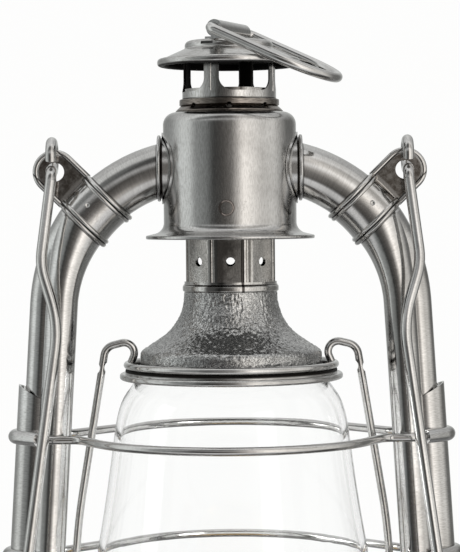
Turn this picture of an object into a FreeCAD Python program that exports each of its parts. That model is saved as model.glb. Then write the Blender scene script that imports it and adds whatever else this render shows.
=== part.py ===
import FreeCAD, Part
import math
import os
import re
import Sketcher

# Hurricane lantern with two air tubes, a clear globe and a wire bail.
# Frame: origin at the centre of the tank's foot, +Z up, +X to the right, -Y towards the viewer.
# Millimetres. The lantern's axis is Z, and the two air tubes lie in the XZ plane.

V = FreeCAD.Vector

SIZES = {
    # tank
    "tank_radius": 59.0,
    "tank_height": 32.0,
    "tank_sheet": 0.6,
    "tank_foot_radius": 51.0,
    "tank_foot_width": 2.5,
    "tank_foot_rise": 4.0,
    "tank_recess": 2.5,
    "tank_seam_level": 15.0,
    "tank_seam_width": 1.8,
    "tank_seam_fold": 0.5,
    "tank_shoulder_rounding": 9.0,
    # filler, on the flat of the tank top at the left front
    "filler_inset": 20.4,
    "filler_turn": 216.57,
    "filler_bore": 6.6,
    "filler_neck_radius": 8.0,
    "filler_neck_height": 8.0,
    "filler_flange": 1.7,
    "filler_flange_sheet": 0.8,
    "filler_gasket_thickness": 1.0,
    "filler_cap_wall": 1.5,
    "filler_cap_skirt": 7.0,
    "filler_cap_top": 1.8,
    "filler_cap_dish": 0.6,
    "filler_grip_radius": 0.9,
    # air chamber and burner
    "chamber_radius": 26.0,
    "chamber_height": 19.0,
    "chamber_flange": 2.5,
    "burner_seat_radius": 15.0,
    "burner_radius": 17.0,
    "burner_height": 6.8,
    "burner_lip_radius": 20.6,
    "burner_sheet": 0.6,
    "burner_skirt": 3.0,
    "air_hole_radius": 1.5,
    "air_hole_inset": 3.2,
    "cone_height": 23.0,
    "cone_slot_length": 16.0,
    "cone_slot_width": 5.0,
    # flat wick and the spindle that winds it
    "wick_width": 12.7,
    "wick_thickness": 2.0,
    "wick_bottom": 8.0,
    "wick_proud": 1.3,
    "wick_tube_wall": 0.7,
    "wick_tube_bottom": 15.0,
    "wick_tube_height": 62.0,
    "spindle_turn": -30.0,
    "spindle_radius": 1.2,
    "spindle_rise": 4.0,
    "spindle_reach": 55.0,
    "wheel_radius": 3.0,
    "wheel_width": 1.6,
    "wheel_spread": 3.6,
    "wheel_gap": 0.25,
    "wheel_tooth_gap": 0.7,
    "knob_radius": 7.5,
    "knob_thickness": 3.5,
    "knob_hub": 1.6,
    "knob_hub_length": 2.0,
    "knurl_radius": 0.8,
    # gallery plate and globe
    "gallery_bore": 18.0,
    "gallery_radius": 36.8,
    "gallery_rim": 3.2,
    "gallery_sheet": 0.6,
    "gallery_lip": 1.6,
    "gallery_hole_ring": 25.3,
    "gallery_hole_radius": 2.2,
    "globe_wall": 2.0,
    "globe_foot_radius": 31.8,
    "globe_belly_radius": 44.5,
    "globe_belly_level": 83.0,
    "globe_shoulder_radius": 38.0,
    "globe_shoulder_drop": 21.0,
    "globe_mouth_radius": 31.0,
    # top plate, dome, neck
    "plate_level": 153.5,
    "plate_sheet": 0.6,
    "plate_bore": 26.5,
    "plate_step_radius": 34.2,
    "plate_step": 1.4,
    "plate_rim_radius": 36.0,
    "plate_rim_roll": 1.0,
    "dome_foot_radius": 29.3,
    "dome_band": 5.5,
    "dome_shoulder": 2.5,
    "dome_top_level": 178.3,
    "dome_top_radius": 15.0,
    "dome_flare": 17.0,
    "dome_flare_level": 168.3,
    "dome_wall": 1.0,
    "neck_radius": 14.9,
    "neck_wall": 0.7,
    "neck_flat_radius": 14.3,
    "neck_bead_radius": 15.5,
    "neck_bead_height": 2.3,
    "neck_flute_radius": 0.8,
    "neck_flute_height": 26.0,
    "neck_seam_turn": -75.0,
    "neck_seam_groove": 0.45,
    "neck_hole_radius": 1.45,
    "neck_hole_level": 188.0,
    # crown, cap and lift ring
    "stack_radius": 14.25,
    "crown_wall": 0.8,
    "crown_ring": 2.0,
    "crown_window_width": 17.4,
    "crown_window_rounding": 4.0,
    "crown_turn": -22.0,
    "leg_groove": 0.5,
    "cap_radius": 23.1,
    "cap_rim_bottom": 250.6,
    "cap_rim_height": 2.5,
    "cap_boss_radius": 14.2,
    "cap_boss_foot": 256.3,
    "cap_boss_top": 258.8,
    "cap_sheet": 0.8,
    "slit_length": 4.4,
    "slit_height": 0.9,
    "strap_length": 23.0,
    "strap_sheet": 1.05,
    "strap_foot_reach": 3.2,
    "ring_hinge_level": 262.2,
    "ring_yaw": 66.0,
    "ring_droop": 24.2,
    "ring_width": 32.0,
    "ring_length": 39.6,
    "ring_wire": 1.6,
    "ring_corner": 2.6,
    # hood
    "hood_radius": 21.4,
    "hood_sheet": 0.7,
    "hood_bottom": 195.2,
    "hood_flange_radius": 27.2,
    "hood_flange_edge": 1.1,
    "hood_flare": 3.6,
    "hood_top": 235.9,
    "hood_shoulder": 4.0,
    "mark_radius": 2.2,
    "mark_groove": 0.3,
    "mark_across": -1.1,
    "mark_level": 205.1,
    "vent_foot_radius": 17.7,
    "vent_throat_radius": 15.4,
    "vent_cone_height": 2.2,
    "vent_hole_radius": 1.0,
    "collar_radius": 16.05,
    "collar_height": 1.9,
    "collar_bore": 14.65,
    # air tubes
    "tube_radius": 8.5,
    "tube_wall": 0.6,
    "tube_level": 219.1,
    "tube_bend": 47.7,
    "tube_bend_offset": 9.5,
    "tube_lean": 3.5,
    "tube_start_angle": 12.7,
    "lobe_start_angle": 54.0,
    "lobe_radius": 5.2,
    "lobe_offset": 4.2,
    "lobe_turn": 48.6,
    "lobe_end_level": 67.0,
    "elbow_radius": 8.2,
    "elbow_bend": 16.0,
    "elbow_level": 41.5,
    "tube_collar_level": 218.0,
    "tube_collar_radius": 10.7,
    "tube_collar_length": 1.9,
    "tube_collar_flange": 1.1,
    "tube_collar_groove": 0.9,
    "saddle_radius": 11.5,
    "saddle_rise": 0.5,
    # bail clamps
    "clamp_angle": 45.7,
    "clamp_width": 13.7,
    "clamp_sheet": 0.8,
    "clamp_bead": 0.75,
    "clamp_pip": 1.1,
    "ear_reach": 17.75,
    "ear_radius": 7.2,
    "ear_hole_radius": 3.0,
    "ear_thickness": 1.4,
    "ear_rim": 1.05,
    # guard wires and sleeves
    "guard_wire": 1.35,
    "guard_upper_level": 131.5,
    "guard_lower_level": 93.0,
    "guard_bow": 46.5,
    "guard_bow_radius": 48.0,
    "guard_kink": 5.0,
    "guard_kink_inset": 5.5,
    "sleeve_radius": 6.9,
    "sleeve_sheet": 0.6,
    "sleeve_shift": 1.0,
    "sleeve_top": 148.2,
    "sleeve_bottom": 69.0,
    "sleeve_cut_angle": 29.6,
    "bead_radius": 2.3,
    "bead_track": 7.2,
    # basket wire
    "basket_wire": 1.25,
    "basket_ring_radius": 33.6,
    "basket_belly_reach": 51.0,
    "basket_belly_level": 82.0,
    "basket_belly_bend": 190.0,
    "basket_corner": 6.0,
    "basket_corner_reach": 50.5,
    "basket_end_reach": 28.0,
    "hook_outer_reach": 41.1,
    "hook_outer_bend": 4.1,
    "hook_outer_level": 157.2,
    "hook_inner_bend": 3.3,
    "hook_inner_reach": 34.6,
    "hook_inner_level": 158.6,
    "pinch_radius": 2.2,
    "pinch_depth": 0.55,
    "pinch_level": 153.8,
    # bail
    "bail_wire": 1.78,
    "bail_loop": 4.7,
    "bail_offset": 4.0,
    "bail_eye_inset": 0.9,
    "bail_shoulder_reach": 60.0,
    "bail_shoulder_drop": 34.0,
    "bail_shoulder_bend": 22.0,
    "bail_waist_reach": 55.2,
    "bail_waist_drop": 58.5,
    "bail_waist_bend": 38.0,
    "bail_corner_reach": 64.3,
    "bail_corner_bend": 30.0,
    "bail_drop": 168.0,
    "bail_tilt": 12.0,
    "bail_end_angle": 62.0,
    # globe lift lever
    "lever_depth": 14.0,
    "lever_sheet": 1.6,
    "lever_pin_radius": 1.5,
    "lever_pivot_inset": 15.0,
    "lever_arm": 17.0,
    "lever_lift": 10.0,
    "lever_crank_drop": 7.0,
    "lever_width": 4.0,
    "lever_reach": 30.0,
    "post_width": 9.0,
    "post_sheet": 1.2,
    "post_foot": 6.0,
    "post_crest": 2.6,
    "post_shift": 1.5,
    "pin_head": 1.0,
    # clearances
    "fit_gap": 0.1,
    "run_gap": 0.08,
    "seat_gap": 0.3,
}

# Levels that follow from the sizes, bottom to top.
CHAMBER_TOP = "(tank_height + chamber_height)"
BURNER_TOP = f"({CHAMBER_TOP} + burner_height)"
GALLERY = f"({BURNER_TOP} + seat_gap)"
GLOBE_FOOT = f"({GALLERY} + gallery_sheet)"
GLOBE_TOP = "(plate_level - plate_sheet)"
SPINDLE = f"({CHAMBER_TOP} + spindle_rise)"
SPINDLE_OFFSET = "(wick_thickness / 2 + wheel_gap + wheel_radius)"
WICK_TUBE_TOP = "(wick_tube_bottom + wick_tube_height)"
COLLAR_TOP = "(hood_top + vent_cone_height + collar_height)"
CROWN_FOOT = f"({COLLAR_TOP} + seat_gap)"
FILLER_TOP = "(tank_height + filler_neck_height)"

doc = FreeCAD.newDocument("hurricane_lantern")
sheet = doc.addObject("Spreadsheet::Sheet", "Sizes")
for row, (alias, value) in enumerate(SIZES.items(), 1):
    sheet.set(f"A{row}", alias)
    sheet.set(f"B{row}", str(value))
    sheet.setAlias(f"B{row}", alias)
doc.recompute()

nodes = []


def cells(expression):
    """The expression with each size's name pointed at its cell in the sheet."""
    def point(word):
        return "Sizes." + word[0] if word[0] in SIZES else word[0]
    return re.sub(r"[a-z]\w*", point, str(expression))


def number(expression):
    """The expression's present value."""
    return float(sheet.evalExpression(cells(expression)))


def bind(thing, **properties):
    """Bind properties to expressions of the sheet; at=(x, y, z) binds the place."""
    for name, expression in properties.items():
        if name == "at":
            for axis, place in zip("xyz", expression):
                thing.setExpression(f"Placement.Base.{axis}", cells(place))
        else:
            thing.setExpression(name, cells(expression))
    return thing


def node(thing, name):
    """Name a finished piece and put it on the list to write."""
    thing.Label = name
    nodes.append(thing)
    return thing


# Outlines and the solids made from them.


def pin_down(sketch, geometry, end, corner):
    """Fix a point of the sketch at its two expressions."""
    for kind, axis, expression in (("DistanceX", -2, corner[0]), ("DistanceY", -1, corner[1])):
        place = number(expression)
        if abs(place) < 1e-9:
            sketch.addConstraint(Sketcher.Constraint("PointOnObject", geometry, end, axis))
        else:
            index = sketch.addConstraint(Sketcher.Constraint(kind, -1, 1, geometry, end, place))
            sketch.setExpression(f"Constraints[{index}]", cells(expression))


def draw_outline(sketch, corners):
    """Closed outline through corners (across, up) or (across, up, rounding)."""
    spots = [V(number(corner[0]), number(corner[1]), 0) for corner in corners]
    count = len(spots)
    ends = []
    for i, corner in enumerate(corners):
        back = (spots[i - 1] - spots[i]).normalize()
        ahead = (spots[(i + 1) % count] - spots[i]).normalize()
        reach = 0
        if len(corner) == 3:
            reach = number(corner[2]) / math.tan(back.getAngle(ahead) / 2)
        ends.append((spots[i] + back * reach, spots[i] + ahead * reach))
    for i in range(count):
        sketch.addGeometry(Part.LineSegment(ends[i][1], ends[(i + 1) % count][0]), False)
    for i, corner in enumerate(corners):
        arriving = (i - 1) % count
        if len(corner) == 2:
            sketch.addConstraint(Sketcher.Constraint("Coincident", arriving, 2, i, 1))
            pin_down(sketch, i, 1, corner)
            continue
        first, last = ends[i]
        radius = number(corner[2])
        left = (first - spots[i]).cross(last - spots[i]).z < 0
        inward = ((first - spots[i]) + (last - spots[i])).normalize()
        centre = spots[i] + inward * math.hypot(radius, (first - spots[i]).Length)
        begin, finish = (first, last) if left else (last, first)
        start = math.atan2(begin.y - centre.y, begin.x - centre.x)
        stop = math.atan2(finish.y - centre.y, finish.x - centre.x)
        if stop < start:
            stop += 2 * math.pi
        circle = Part.Circle(centre, V(0, 0, 1), radius)
        arc = sketch.addGeometry(Part.ArcOfCircle(circle, start, stop), False)
        spot = sketch.addGeometry(Part.Point(spots[i]), True)
        meets, parts = (1, 2) if left else (2, 1)
        sketch.addConstraint(Sketcher.Constraint("Tangent", arriving, 2, arc, meets))
        sketch.addConstraint(Sketcher.Constraint("Tangent", arc, parts, i, 1))
        sketch.addConstraint(Sketcher.Constraint("PointOnObject", spot, 1, arriving))
        sketch.addConstraint(Sketcher.Constraint("PointOnObject", spot, 1, i))
        index = sketch.addConstraint(Sketcher.Constraint("Radius", arc, radius))
        sketch.setExpression(f"Constraints[{index}]", cells(corner[2]))
        pin_down(sketch, spot, 1, corner)


def outlined_body(name, plane, corners):
    """PartDesign body with one sketch on the named plane of its own origin."""
    body = doc.addObject("PartDesign::Body", name)
    sketch = body.newObject("Sketcher::SketchObject", name + "_outline")
    support = [feature for feature in body.Origin.OriginFeatures if feature.Role == plane][0]
    sketch.AttachmentSupport = (support, [""])
    sketch.MapMode = "FlatFace"
    draw_outline(sketch, corners)
    return body, sketch


def turned(name, corners):
    """Solid of revolution about Z from an outline of (radius, height) corners."""
    body, sketch = outlined_body(name, "XZ_Plane", corners)
    spin = body.newObject("PartDesign::Revolution", name + "_turned")
    spin.Profile = sketch
    spin.ReferenceAxis = (sketch, ["V_Axis"])
    spin.Angle = 360
    return body


def plate(name, corners, thickness, plane="XY_Plane"):
    """Flat plate of the outline, padded from its plane by the thickness."""
    body, sketch = outlined_body(name, plane, corners)
    pad = body.newObject("PartDesign::Pad", name + "_pad")
    pad.Profile = sketch
    pad.setExpression("Length", cells(thickness))
    return body


def rod(name, radius, length, at, axis=V(0, 0, 1)):
    """Cylinder from the place at, along the axis."""
    cylinder = doc.addObject("Part::Cylinder", name)
    cylinder.Placement.Rotation = FreeCAD.Rotation(V(0, 0, 1), axis)
    return bind(cylinder, Radius=radius, Height=length, at=at)


def cut(name, base, *tools):
    """Base less all the tools."""
    tool = tools[0]
    if len(tools) > 1:
        tool = doc.addObject("Part::MultiFuse", name + "_tools")
        tool.Shapes = list(tools)
    result = doc.addObject("Part::Cut", name + "_cut")
    result.Base = base
    result.Tool = tool
    return result


def fuse(name, *pieces):
    """All the pieces as one."""
    result = doc.addObject("Part::MultiFuse", name + "_whole")
    result.Shapes = list(pieces)
    return result


def common(name, first, second):
    """What two pieces share."""
    result = doc.addObject("Part::Common", name + "_common")
    result.Base = first
    result.Tool = second
    return result


def shaped(name, shape):
    """Piece whose form is worked out below from the sheet's values."""
    feature = doc.addObject("Part::Feature", name)
    feature.Shape = shape
    return feature


# Bent wire.


def bend_path(pegs, closed=False):
    """Path in the XY plane drawn taut round pegs (x, y, radius). A positive radius turns it left."""
    following = pegs[1:] + pegs[:1] if closed else pegs[1:]
    runs = []
    for (x1, y1, r1), (x2, y2, r2) in zip(pegs, following):
        gap = V(x2 - x1, y2 - y1, 0)
        heading = math.atan2(gap.y, gap.x) + math.asin((r1 - r2) / gap.Length)
        right = V(math.sin(heading), -math.cos(heading), 0)
        runs.append((V(x1, y1, 0) + right * r1, V(x2, y2, 0) + right * r2, heading))
    edges = []
    for i, (start, end, heading) in enumerate(runs):
        edges.append(Part.LineSegment(start, end).toShape())
        if i + 1 == len(runs) and not closed:
            break
        onward, _, next_heading = runs[(i + 1) % len(runs)]
        x, y, radius = pegs[(i + 1) % len(pegs)]
        turn = (next_heading - heading) % (2 * math.pi)
        if radius < 0:
            turn -= 2 * math.pi
        spoke = FreeCAD.Rotation(V(0, 0, 1), math.degrees(turn / 2)).multVec(end - V(x, y, 0))
        edges.append(Part.Arc(end, V(x, y, 0) + spoke, onward).toShape())
    return edges


def placed(edges, placement):
    """The edges as one wire, moved to their place."""
    path = Part.Wire(edges)
    path.Placement = placement
    return path


def wire(name, path, radius):
    """Round wire along a path."""
    route = shaped(name + "_route", path)
    first = path.Edges[0]
    section = doc.addObject("Part::Circle", name + "_section")
    section.Placement = FreeCAD.Placement(
        first.valueAt(first.FirstParameter),
        FreeCAD.Rotation(V(0, 0, 1), first.tangentAt(first.FirstParameter)))
    bind(section, Radius=radius)
    sweep = doc.addObject("Part::Sweep", name)
    sweep.Sections = [section]
    sweep.Spine = (route, [f"Edge{i + 1}" for i in range(len(path.Edges))])
    sweep.Solid = True
    return sweep


def thread(path, radius):
    """Plain solid of a round section along a path, for fusing and cutting."""
    first = path.Edges[0]
    circle = Part.Circle(first.valueAt(first.FirstParameter), first.tangentAt(first.FirstParameter), radius)
    return path.makePipeShell([Part.Wire(circle.toShape())], True, False)


def mirrored(shape):
    """The same shape on the other side of the YZ plane."""
    return shape.mirror(V(0, 0, 0), V(1, 0, 0))


SIDES = ("right", "left")


def on_side(shape, side):
    """A right-hand shape, mirrored where the left one is wanted."""
    return shape if side == "right" else mirrored(shape)


# Tank: two pressed shells whose flanges are folded together half way up.

SEAM = "(tank_radius + tank_seam_width)"
node(turned("bowl", [
    (0, "tank_recess"),
    ("tank_foot_radius - tank_foot_width - 2", "tank_recess", 1.5),
    ("tank_foot_radius - tank_foot_width", 0, 0.5),
    ("tank_foot_radius", 0, 1.0),
    ("tank_radius", "tank_foot_rise", 3.5),
    ("tank_radius", "tank_seam_level - tank_sheet", 0.4),
    (SEAM, "tank_seam_level - tank_sheet"),
    (SEAM, "tank_seam_level"),
    ("tank_radius - tank_sheet", "tank_seam_level"),
    ("tank_radius - tank_sheet", "tank_foot_rise + tank_sheet * 0.8", 3),
    ("tank_foot_radius - 0.2", "tank_sheet", 0.6),
    ("tank_foot_radius - tank_foot_width + 0.4", "tank_sheet", 0.6),
    ("tank_foot_radius - tank_foot_width - 1.6", "tank_recess + tank_sheet", 1.5),
    (0, "tank_recess + tank_sheet"),
]), "tank_bowl")

LIP = f"({SEAM} + fit_gap / 2)"
top_shell = turned("top_shell", [
    (LIP, "tank_seam_level"),
    (LIP, "tank_seam_level - tank_sheet - tank_seam_fold"),
    (f"{LIP} + tank_sheet", "tank_seam_level - tank_sheet - tank_seam_fold"),
    (f"{LIP} + tank_sheet", "tank_seam_level + tank_sheet", 0.5),
    ("tank_radius", "tank_seam_level + tank_sheet", 0.5),
    ("tank_radius", "tank_height", "tank_shoulder_rounding"),
    (0, "tank_height"),
    (0, "tank_height - tank_sheet"),
    ("tank_radius - tank_sheet", "tank_height - tank_sheet", "tank_shoulder_rounding - tank_sheet"),
    ("tank_radius - tank_sheet", "tank_seam_level"),
])
filler_turn = math.radians(number("filler_turn"))
FILLER_ACROSS = f"(tank_radius - filler_inset) * {math.cos(filler_turn):.6f}"
FILLER_DEPTH = f"(tank_radius - filler_inset) * {math.sin(filler_turn):.6f}"
filler_place = (FILLER_ACROSS, FILLER_DEPTH, 0)
filler_hole = rod("filler_hole", "filler_bore", "tank_height + 5", filler_place)

# The wick tube's outline, turned in line with the spindle, cuts its own way through what it passes.


def oblong(name, length, width, bottom, height):
    """Upright oblong prism with round ends, its length in line with the spindle."""
    corners = [(f"{x} * {length} / 2", f"{y} * {width} / 2", f"{width} / 2 - 0.01")
               for x, y in ((-1, -1), (1, -1), (1, 1), (-1, 1))]
    body = plate(name, corners, height)
    body.Placement.Rotation = FreeCAD.Rotation(V(0, 0, 1), number("spindle_turn"))
    return bind(body, at=(0, 0, bottom))


TUBE_LENGTH = "(wick_width + 2 * wick_tube_wall + 2 * fit_gap)"
TUBE_WIDTH = "(wick_thickness + 2 * wick_tube_wall + 2 * fit_gap)"


def wick_passage(name):
    """Room for the wick tube with its fitting gap."""
    return oblong(name, f"({TUBE_LENGTH} + 2 * fit_gap)", f"({TUBE_WIDTH} + 2 * fit_gap)",
                  "wick_tube_bottom - 5", "wick_tube_height")


node(cut("top_shell", top_shell, filler_hole, wick_passage("tank_passage")), "tank_top")

# Filler: neck on the tank top, gasket on the neck, screw cap over both.


def at_filler(body):
    """Stand a turned piece on the filler's axis."""
    return bind(body, at=filler_place)


node(at_filler(turned("filler_neck", [
    ("filler_bore", "tank_height"),
    ("filler_neck_radius + filler_flange", "tank_height"),
    ("filler_neck_radius + filler_flange", "tank_height + filler_flange_sheet"),
    ("filler_neck_radius", "tank_height + filler_flange_sheet", 0.5),
    ("filler_neck_radius", FILLER_TOP),
    ("filler_bore", FILLER_TOP),
])), "filler_neck")

GASKET_TOP = f"({FILLER_TOP} + filler_gasket_thickness)"
gasket_blank = turned("gasket", [
    (0, FILLER_TOP),
    ("filler_neck_radius - fit_gap", FILLER_TOP),
    ("filler_neck_radius - fit_gap", GASKET_TOP),
    (0, GASKET_TOP),
])
node(at_filler(gasket_blank), "filler_gasket")

CAP_BORE = "(filler_neck_radius + run_gap)"
CAP_OUTSIDE = f"({CAP_BORE} + filler_cap_wall)"
filler_blank = at_filler(turned("filler_blank", [
    (0, GASKET_TOP),
    (CAP_BORE, GASKET_TOP),
    (CAP_BORE, f"{GASKET_TOP} - filler_cap_skirt"),
    (CAP_OUTSIDE, f"{GASKET_TOP} - filler_cap_skirt", 0.4),
    (CAP_OUTSIDE, f"{GASKET_TOP} + filler_cap_top", 1.0),
    ("filler_neck_radius - 2", f"{GASKET_TOP} + filler_cap_top", 1.0),
    ("filler_neck_radius - 3", f"{GASKET_TOP} + filler_cap_top - filler_cap_dish", 1.0),
    (0, f"{GASKET_TOP} + filler_cap_top - filler_cap_dish"),
]))
GRIPS = 12
GRIP_RING = f"({CAP_OUTSIDE} + filler_grip_radius / 2)"
grips = []
for i in range(GRIPS):
    around = 2 * math.pi * i / GRIPS
    grips.append(rod(f"filler_grip_{i}", "filler_grip_radius", "filler_cap_skirt + filler_cap_top + 2", (
        f"{FILLER_ACROSS} + {GRIP_RING} * {math.cos(around):.6f}",
        f"{FILLER_DEPTH} + {GRIP_RING} * {math.sin(around):.6f}",
        f"{GASKET_TOP} - filler_cap_skirt - 1")))
node(cut("filler_cap", filler_blank, *grips), "filler_cap")

# Air chamber: the drum on the tank that the two tubes feed, with the burner in its top.

chamber_drum = turned("chamber_drum", [
    ("chamber_radius + chamber_flange", "tank_height"),
    ("chamber_radius + chamber_flange", "tank_height + tank_sheet"),
    ("chamber_radius", "tank_height + tank_sheet", 0.5),
    ("chamber_radius", CHAMBER_TOP, 1.5),
    ("burner_seat_radius", CHAMBER_TOP),
    ("burner_seat_radius", f"{CHAMBER_TOP} - tank_sheet"),
    ("chamber_radius - tank_sheet", f"{CHAMBER_TOP} - tank_sheet", 0.9),
    ("chamber_radius - tank_sheet", "tank_height"),
])
tube_way = rod("tube_way", "elbow_radius + fit_gap", "2 * chamber_radius + 4",
               ("0 - chamber_radius - 2", 0, "elbow_level"), V(1, 0, 0))
node(cut("chamber", chamber_drum, tube_way), "air_chamber")

# Burner: pierced base in the chamber's top, cone with the flame slot above it.

burner_cup = turned("burner_cup", [
    (0, CHAMBER_TOP),
    ("burner_seat_radius - fit_gap - burner_sheet", CHAMBER_TOP),
    ("burner_seat_radius - fit_gap - burner_sheet", f"{CHAMBER_TOP} - burner_skirt"),
    ("burner_seat_radius - fit_gap", f"{CHAMBER_TOP} - burner_skirt"),
    ("burner_seat_radius - fit_gap", CHAMBER_TOP),
    ("burner_radius", CHAMBER_TOP, 0.5),
    ("burner_radius", f"{BURNER_TOP} - burner_sheet", 0.4),
    ("burner_lip_radius", f"{BURNER_TOP} - burner_sheet"),
    ("burner_lip_radius", BURNER_TOP),
    ("burner_radius - burner_sheet", BURNER_TOP, 0.5),
    ("burner_radius - burner_sheet", f"{CHAMBER_TOP} + burner_sheet"),
    (0, f"{CHAMBER_TOP} + burner_sheet"),
])
AIR_HOLES = 10
air_holes = []
for i in range(AIR_HOLES):
    around = math.radians(number("spindle_turn")) + 2 * math.pi * (i + 0.5) / AIR_HOLES
    air_holes.append(rod(f"air_hole_{i}", "air_hole_radius", 4, (
        f"(burner_seat_radius - air_hole_inset) * {math.cos(around):.6f}",
        f"(burner_seat_radius - air_hole_inset) * {math.sin(around):.6f}",
        f"{CHAMBER_TOP} - 2")))

spindle_turn = FreeCAD.Rotation(V(0, 0, 1), number("spindle_turn"))
along = spindle_turn.multVec(V(1, 0, 0))
beside = spindle_turn.multVec(V(0, 1, 0))


def on_spindle(distance):
    """Place on the spindle's axis, at a distance from the middle."""
    return (f"{along.x:.6f} * ({distance}) + {beside.x:.6f} * {SPINDLE_OFFSET}",
            f"{along.y:.6f} * ({distance}) + {beside.y:.6f} * {SPINDLE_OFFSET}", SPINDLE)


spindle_hole = rod("spindle_hole", "spindle_radius + run_gap", "burner_radius + 5", on_spindle(5), along)
node(cut("burner", burner_cup, wick_passage("burner_passage"), spindle_hole, *air_holes), "burner_base")

cone_shell = turned("cone_shell", [
    ("burner_radius", BURNER_TOP),
    ("burner_radius", f"{BURNER_TOP} + cone_height * 0.3", 4),
    ("burner_radius * 0.72", f"{BURNER_TOP} + cone_height * 0.75", 9),
    ("burner_radius * 0.5", f"{BURNER_TOP} + cone_height", 3),
    (0, f"{BURNER_TOP} + cone_height"),
    (0, f"{BURNER_TOP} + cone_height - burner_sheet"),
    ("burner_radius * 0.5 - burner_sheet * 0.8", f"{BURNER_TOP} + cone_height - burner_sheet", 2.4),
    ("burner_radius * 0.72 - burner_sheet", f"{BURNER_TOP} + cone_height * 0.75", 8.4),
    ("burner_radius - burner_sheet", f"{BURNER_TOP} + cone_height * 0.3", 3.4),
    ("burner_radius - burner_sheet", BURNER_TOP),
])
flame_slot = oblong("flame_slot", "cone_slot_length", "cone_slot_width",
                    f"{BURNER_TOP} + cone_height - 6", 10)
node(cut("cone", cone_shell, flame_slot), "burner_cone")

# Wick tube, wick, and the spindle with its two wheels and knob.

wick_sleeve = oblong("wick_sleeve", TUBE_LENGTH, TUBE_WIDTH, "wick_tube_bottom", "wick_tube_height")
wick_bore = oblong("wick_bore", f"({TUBE_LENGTH} - 2 * wick_tube_wall)",
                   f"({TUBE_WIDTH} - 2 * wick_tube_wall)", "wick_tube_bottom - 1", "wick_tube_height + 2")
WINDOW_HALF = "(wheel_spread + wheel_width / 2 + 2 * seat_gap)"
wheel_window = doc.addObject("Part::Box", "wheel_window")
wheel_window.Placement.Rotation = spindle_turn
bind(wheel_window, Length=f"2 * {WINDOW_HALF}", Width="2 * wheel_radius", Height="2 * wheel_radius + 1",
     at=(f"{beside.x:.6f} * wick_thickness / 2 - {along.x:.6f} * {WINDOW_HALF}",
         f"{beside.y:.6f} * wick_thickness / 2 - {along.y:.6f} * {WINDOW_HALF}",
         f"{SPINDLE} - wheel_radius - 0.5"))
node(cut("wick_tube", wick_sleeve, wick_bore, wheel_window), "wick_tube")

node(oblong("wick", "wick_width", "wick_thickness", "wick_bottom",
            f"{WICK_TUBE_TOP} + wick_proud - wick_bottom"), "wick")

SPINDLE_START = "(0 - wheel_spread - wheel_width)"
node(rod("spindle", "spindle_radius", f"spindle_reach - {SPINDLE_START}", on_spindle(SPINDLE_START), along),
     "wick_spindle")

TEETH = 8
TOOTH_RING = "(wheel_radius + wheel_tooth_gap * 0.2)"
wheels = []
for i, side in enumerate((-1, 1)):
    place = on_spindle(f"{side} * wheel_spread - wheel_width / 2")
    disc = rod(f"wheel_{i}", "wheel_radius", "wheel_width", place, along)
    gaps = [rod(f"wheel_bore_{i}", "spindle_radius", "wheel_width", place, along)]
    for tooth in range(TEETH):
        around = 2 * math.pi * tooth / TEETH
        lift = beside * math.cos(around) + V(0, 0, math.sin(around))
        gaps.append(rod(f"wheel_gap_{i}_{tooth}", "wheel_tooth_gap", "wheel_width + 2", (
            f"{place[0]} + {lift.x:.6f} * {TOOTH_RING} - {along.x:.6f}",
            f"{place[1]} + {lift.y:.6f} * {TOOTH_RING} - {along.y:.6f}",
            f"{place[2]} + {lift.z:.6f} * {TOOTH_RING}"), along))
    wheels.append(cut(f"wheel_{i}", disc, *gaps))
node(fuse("wheels", *wheels), "wick_wheels")

knob_blank = turned("knob_blank", [
    ("spindle_radius", "0 - knob_thickness - knob_hub_length"),
    ("spindle_radius + knob_hub", "0 - knob_thickness - knob_hub_length"),
    ("spindle_radius + knob_hub", "0 - knob_thickness"),
    ("knob_radius", "0 - knob_thickness", 0.7),
    ("knob_radius", 0, 0.7),
    ("spindle_radius", 0),
])
knob_blank.Placement.Rotation = FreeCAD.Rotation(V(0, 0, 1), along)
bind(knob_blank, at=on_spindle("spindle_reach"))
KNURLS = 16
KNURL_RING = "(knob_radius + knurl_radius * 0.45)"
knurls = []
for i in range(KNURLS):
    around = 2 * math.pi * i / KNURLS
    lift = beside * math.cos(around) + V(0, 0, math.sin(around))
    middle = on_spindle("spindle_reach - knob_thickness - 1")
    knurls.append(rod(f"knurl_{i}", "knurl_radius", "knob_thickness + 2", (
        f"{middle[0]} + {lift.x:.6f} * {KNURL_RING}",
        f"{middle[1]} + {lift.y:.6f} * {KNURL_RING}",
        f"{middle[2]} + {lift.z:.6f} * {KNURL_RING}"), along))
node(cut("knob", knob_blank, *knurls), "wick_knob")

# Gallery plate: the pierced seat of the globe, which slides up round the burner cone.

gallery_disc = turned("gallery_disc", [
    ("gallery_bore", GALLERY),
    ("gallery_radius", GALLERY, 1.5),
    ("gallery_radius", f"{GALLERY} + gallery_rim"),
    ("gallery_radius - gallery_sheet", f"{GALLERY} + gallery_rim"),
    ("gallery_radius - gallery_sheet", f"{GALLERY} + gallery_sheet", 0.9),
    ("gallery_bore + gallery_sheet", f"{GALLERY} + gallery_sheet"),
    ("gallery_bore + gallery_sheet", f"{GALLERY} + gallery_sheet + gallery_lip"),
    ("gallery_bore", f"{GALLERY} + gallery_sheet + gallery_lip"),
])
GALLERY_HOLES = 14
gallery_holes = []
for i in range(GALLERY_HOLES):
    around = 2 * math.pi * (i + 0.5) / GALLERY_HOLES
    gallery_holes.append(rod(f"gallery_hole_{i}", "gallery_hole_radius", 4, (
        f"gallery_hole_ring * {math.cos(around):.6f}",
        f"gallery_hole_ring * {math.sin(around):.6f}",
        f"{GALLERY} - 2")))
node(cut("gallery", gallery_disc, *gallery_holes), "gallery_plate")

# Globe: blown glass, narrow at the foot, widest low down, drawn in under the top plate.


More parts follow.
